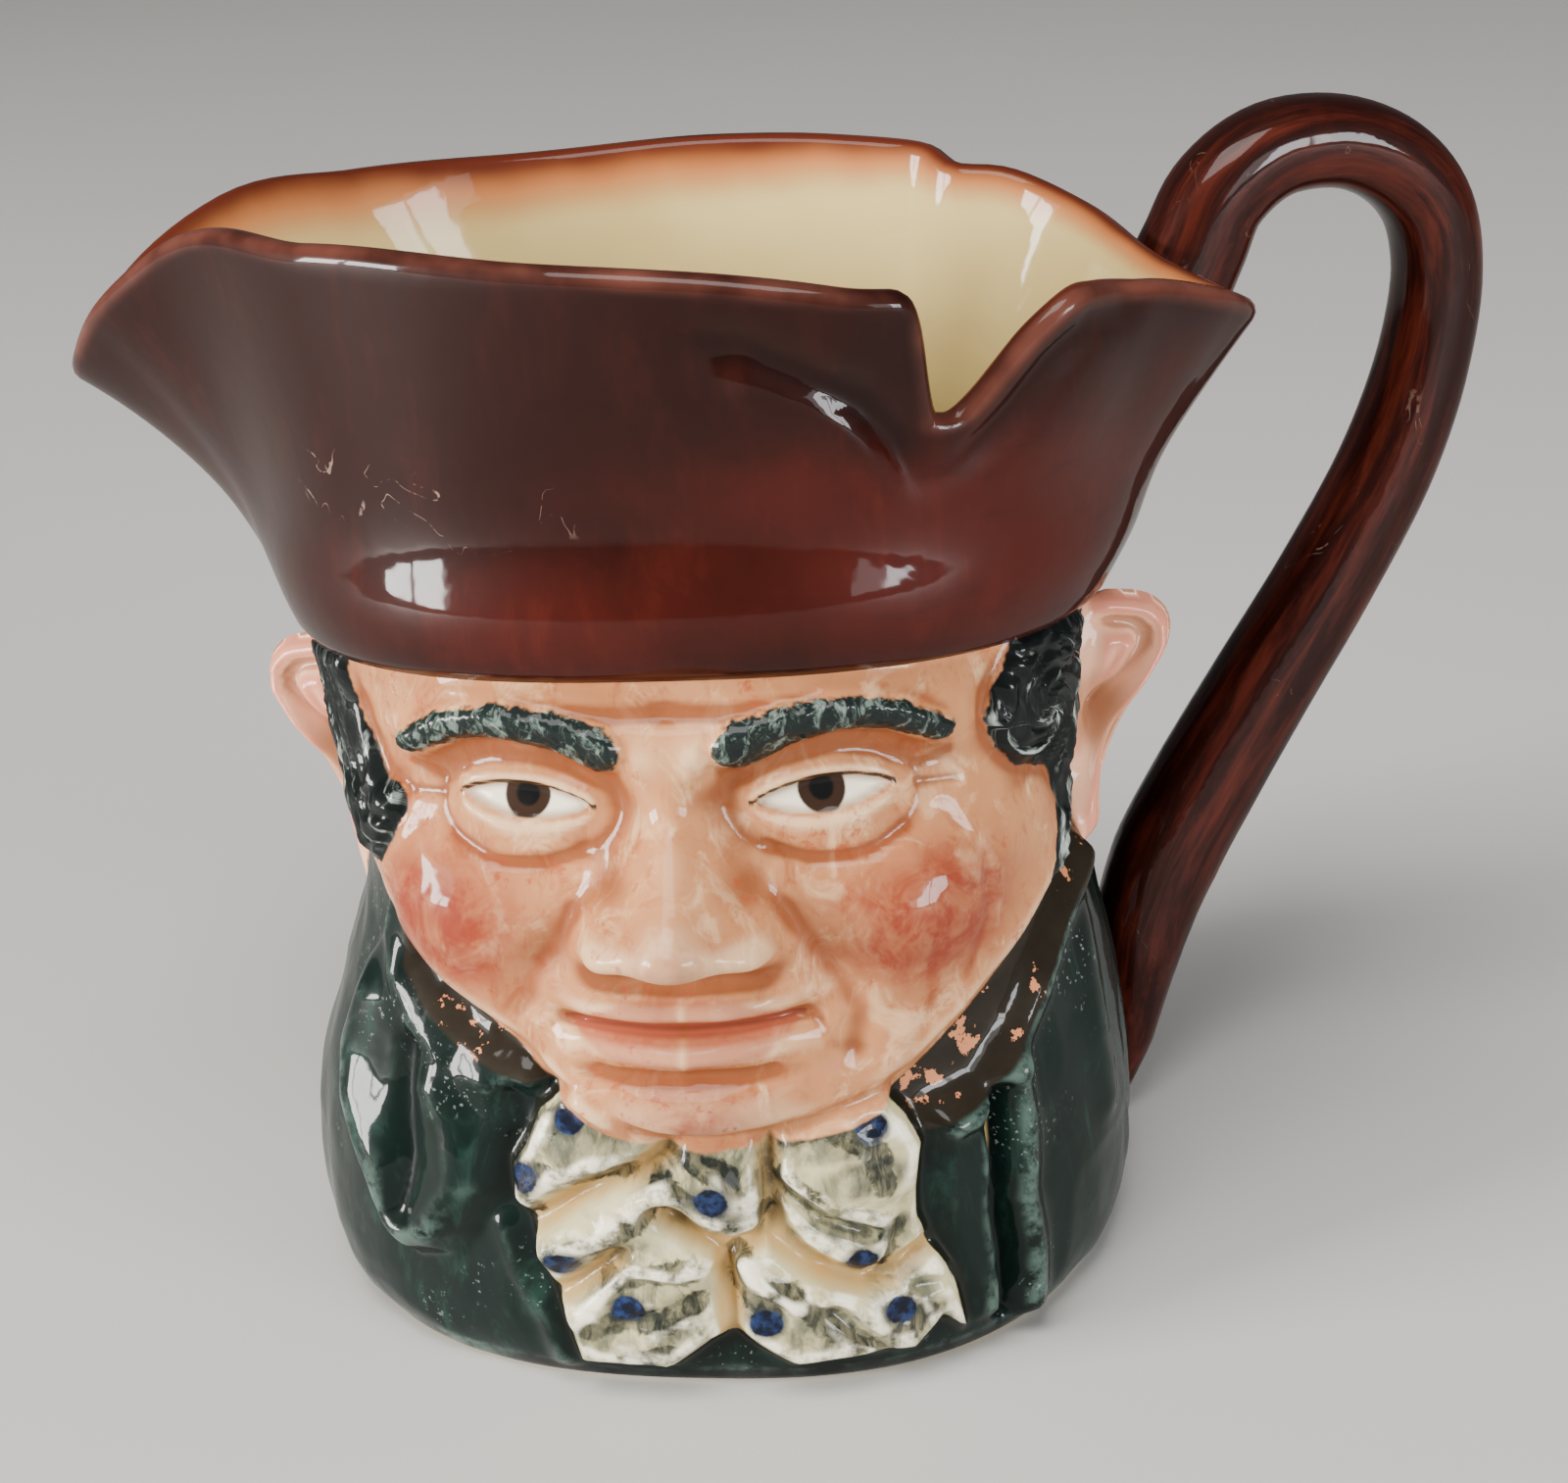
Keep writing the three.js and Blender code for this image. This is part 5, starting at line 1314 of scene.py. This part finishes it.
def paint_hat(f, along):
    """Dark brown glaze over red-brown, brushed on, with painted shade in its hollows, a paler rim where the
    glaze thins and a painted highlight lies, and fine scratches.
    """
    red = f.math("ADD", f.value("red"), f.math("MULTIPLY_ADD", f.noise(24, 4, 0.6, move=30), 1.0, -0.5))
    hat = f.blend(f.step(red, 0.0, 0.95), tint("1c0502"), tint("3c0f08"))
    upright = f.step(f.noise(5, 4, 0.72, stretch=along, move=33, warp=0.3), 0.5, 0.76)
    upright = f.times(upright, f.math("MULTIPLY_ADD", f.step(red, 0.1, 0.9), 0.2, 0.08))
    hat = f.blend(upright, hat, tint("5e2014"))
    level = f.step(f.noise(7, 4, 0.6, stretch=(0.5, 0.5, 2.2), move=34), 0.55, 0.75)
    hat = f.blend(f.times(level, 0.35), hat, tint("180301"))
    # Painted shade: darker in the hollows of the hat.
    hat = f.blend(f.times(f.step(f.value("dip"), 0.15, 0.9), 0.55), hat, tint("100200"))
    line = f.math("ABSOLUTE", f.math("SUBTRACT", f.noise(9, 2, 0.5, move=36, warp=0.8), 0.5))
    line = f.step(line, 0.0055, 0.002)
    patch = f.step(f.math("MULTIPLY_ADD", f.noise(8, 2, 0.5, move=38), 1.2, f.value("marks")), 1.0, 1.3)
    broken = f.step(f.noise(1.3, 2, 0.6, move=39), 0.44, 0.56)
    hat = f.blend(f.times(line, patch, broken, 0.42), hat, tint("a58676"))
    # Paler brown along the rim: the glaze thins there, and it also serves as a painted highlight.
    edge = f.times(f.step(f.value("rim"), 3.0, 0.8), f.step(f.noise(11, 3, 0.5, move=48), 0.25, 0.7))
    return f.blend(f.times(edge, 0.6), hat, tint("704034"))


def paint_inside(f):
    """Cream inside, sprayed orange and then brown towards the rim."""
    rim = f.math("MULTIPLY_ADD", f.noise(16, 2, move=40), 3.0, f.math("SUBTRACT", f.value("fade"), 1.5))
    cream = f.blend(f.noise(26, 3, 0.5, move=41), tint("b79c5b"), tint("d3bf84"))
    stain = f.step(f.noise(6, 4, 0.7, move=42, warp=0.6), 0.62, 0.8)
    cream = f.blend(f.times(stain, 0.3), cream, tint("9c8450"))
    orange = f.blend(f.times(f.step(rim, 11, 4), 0.85), cream, tint("a9572a"))
    return f.blend(f.times(f.step(rim, 5.4, 1.4), 0.95), orange, tint("43110a"))


def paint_ear(f):
    """Pink glaze on the ears' edges, with brown painted shade in their bowls and hollows."""
    dip = f.value("dip")
    ear = f.blend(f.noise(6, 3, move=44), tint("d28f70"), tint("e6b695"))
    ear = f.blend(f.times(f.step(dip, -0.1, -0.6), 0.6), ear, tint("cc6c58"))
    # Painted shade: brown in the bowl and the hollows of each ear.
    ear = f.blend(f.times(f.step(f.value("bowl"), 0.15, 0.8), 0.55), ear, tint("9a6840"))
    return f.blend(f.times(f.step(dip, 0.03, 0.5), 0.6), ear, tint("7c4626"))


def paint_jug(f):
    """All the painted areas, laid over one another."""
    face = paint_hair(f, paint_eyes(f, paint_skin(f)))
    coat = paint_cravat(f, paint_coat(f))
    colour = f.blend(f.ragged(f.value("neck"), 3, 0.3, 0.25), coat, face)
    colour = f.blend(f.ragged(f.value("ear"), 3, 0.3, 0.3), colour, paint_ear(f))
    hat = paint_hat(f, (1, 1, 0.22))
    colour = f.blend(f.ragged(f.value("hat"), 3, 0.12, 0.12), colour, hat)
    grain = f.noise(2.6, 4, 0.7, stretch=(1, 1, 0.1), move=70, warp=0.3, space=f.direction("flow"))
    # Paler red-brown streaks along the handle, partly its own streaky glaze and partly a painted sheen.
    streaks_and_sheen = f.times(f.step(grain, 0.4, 0.75), 0.42)
    handle = f.blend(streaks_and_sheen, hat, tint("6a2a1c"))
    colour = f.blend(f.ragged(f.value("handle"), 3, 0.4, 0.4), colour, handle)
    colour = f.blend(f.step(f.value("inner"), 1.9, 2.7), colour, paint_inside(f))
    return f.blend(f.step(f.value("height"), 0.9, 0.5), colour, tint("cfc3a0"))


def make_glaze():
    """Painted body colour under a clear, slightly uneven glaze, calmer on the hat."""
    f = Finish("painted_glaze")
    f.link(paint_jug(f), f.shader.inputs["Base Color"])
    f.shader.inputs["Roughness"].default_value = 0.5
    f.shader.inputs["Specular IOR Level"].default_value = 0.05
    f.shader.inputs["Coat Weight"].default_value = 0.5
    f.shader.inputs["Coat Roughness"].default_value = 0.05
    f.shader.inputs["Coat IOR"].default_value = 1.36
    bump = f.tree.nodes.new("ShaderNodeBump")
    bump.inputs["Strength"].default_value = 0.25
    bump.inputs["Distance"].default_value = 0.0006
    calm = f.math("MULTIPLY_ADD", f.step(f.value("hat"), -0.5, 1.5), -0.6, 1.0)
    f.link(f.times(f.noise(5, 2, 0.5, move=50), calm), bump.inputs["Height"])
    f.link(bump.outputs["Normal"], f.shader.inputs["Normal"])
    f.link(bump.outputs["Normal"], f.shader.inputs["Coat Normal"])
    return f.material


# ------------------------------------------------------------------ floor, lights and camera
def make_floor():
    """A wide, plain, pale floor."""
    nothing_selected()
    bpy.ops.mesh.primitive_plane_add(size=9, location=(0, 1.5, 0))
    floor = bpy.context.object
    floor.name = "floor"
    f = Finish("pale_floor")
    f.link(f.blend(f.noise(400, 3, 0.5), tint("bab8b4"), tint("c4c2be")), f.shader.inputs["Base Color"])
    f.shader.inputs["Roughness"].default_value = 0.7
    floor.data.materials.append(f.material)


def soft_box(name, aim, azimuth, elevation, away, wide, high, watts, colour):
    """A rectangular lamp that looks at a point; azimuth 0 is in front of the face."""
    a, e = math.radians(azimuth), math.radians(elevation)
    back = Vector((math.sin(a) * math.cos(e), -math.cos(a) * math.cos(e), math.sin(e)))
    lamp = bpy.data.lights.new(name, "AREA")
    lamp.shape = "RECTANGLE"
    lamp.size, lamp.size_y = wide, high
    lamp.energy = watts
    lamp.color = colour
    thing = bpy.data.objects.new(name, lamp)
    bpy.context.scene.collection.objects.link(thing)
    turned = back.to_track_quat("Z", "Y").to_matrix().to_4x4()
    thing.matrix_world = Matrix.Translation(Vector(aim) + back * away) @ turned


LIGHTS_AIM = (0, 0, 0.07)
DAYLIGHT, COOL_DAYLIGHT, LAMPLIGHT = (1.0, 0.98, 0.95), (0.97, 0.98, 1.0), (1.0, 0.99, 0.97)
# Name, azimuth, elevation, distance, width, height in metres, watts, colour.
LIGHTS = [("window_left", -68, 9.5, 1.5, 0.24, 0.44, 26, DAYLIGHT),
          ("window_left_second", -57.5, 9.5, 1.5, 0.24, 0.44, 26, DAYLIGHT),
          ("window_right", 44, 9.5, 1.6, 0.26, 0.44, 13, COOL_DAYLIGHT),
          ("window_right_second", 55, 9.5, 1.6, 0.26, 0.44, 13, COOL_DAYLIGHT),
          ("curtain_left", -63, 13, 1.55, 0.62, 0.6, 7, DAYLIGHT),
          ("curtain_right", 42, 10.5, 1.65, 0.66, 0.5, 6, COOL_DAYLIGHT),
          ("overhead", -14, 62, 1.6, 1.0, 0.8, 31, LAMPLIGHT)]


def make_lights():
    """Two windows on each side with their pale curtains, a soft box above and a dim room."""
    for name, azimuth, elevation, away, wide, high, watts, colour in LIGHTS:
        soft_box(name, LIGHTS_AIM, azimuth, elevation, away, wide, high, watts, colour)
    world = bpy.data.worlds.new("room")
    world.use_nodes = True
    world.node_tree.nodes["Background"].inputs["Color"].default_value = (0.80, 0.82, 0.85, 1)
    world.node_tree.nodes["Background"].inputs["Strength"].default_value = 0.19
    bpy.context.scene.world = world


CAMERA_AIM = Vector((0.0084, 0.0, 0.065))
CAMERA_AWAY = 0.400
CAMERA_AZIMUTH = 6.0
CAMERA_ELEVATION = 22.2
CAMERA_ROLL = -3.6
CAMERA_LENS = 72.45


def make_camera():
    """The camera, looking down at the jug from in front, a little from the right."""
    a, e, turn = (math.radians(v) for v in (CAMERA_AZIMUTH, CAMERA_ELEVATION, CAMERA_ROLL))
    back = Vector((math.sin(a) * math.cos(e), -math.cos(a) * math.cos(e), math.sin(e)))
    level = Vector((math.cos(a), math.sin(a), 0))
    steep = back.cross(level)
    right = level * math.cos(turn) + steep * math.sin(turn)
    up = steep * math.cos(turn) - level * math.sin(turn)
    lens = bpy.data.cameras.new("camera")
    lens.sensor_width = 36
    lens.lens = CAMERA_LENS
    lens.clip_start = 0.01
    camera = bpy.data.objects.new("camera", lens)
    bpy.context.scene.collection.objects.link(camera)
    turned = Matrix((right, up, back)).transposed().to_4x4()
    camera.matrix_world = Matrix.Translation(CAMERA_AIM + back * CAMERA_AWAY) @ turned
    bpy.context.scene.camera = camera


# ------------------------------------------------------------------ putting it together
jug, rim = make_jug()
mark_paint(jug, rim)
jug.data.materials.clear()
jug.data.materials.append(make_glaze())
jug.data.polygons.foreach_set("material_index", [0] * len(jug.data.polygons))
jug.data.polygons.foreach_set("use_smooth", [True] * len(jug.data.polygons))
jug.data.update()
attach(jug, "root")
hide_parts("jug")

make_floor()
make_lights()
make_camera()
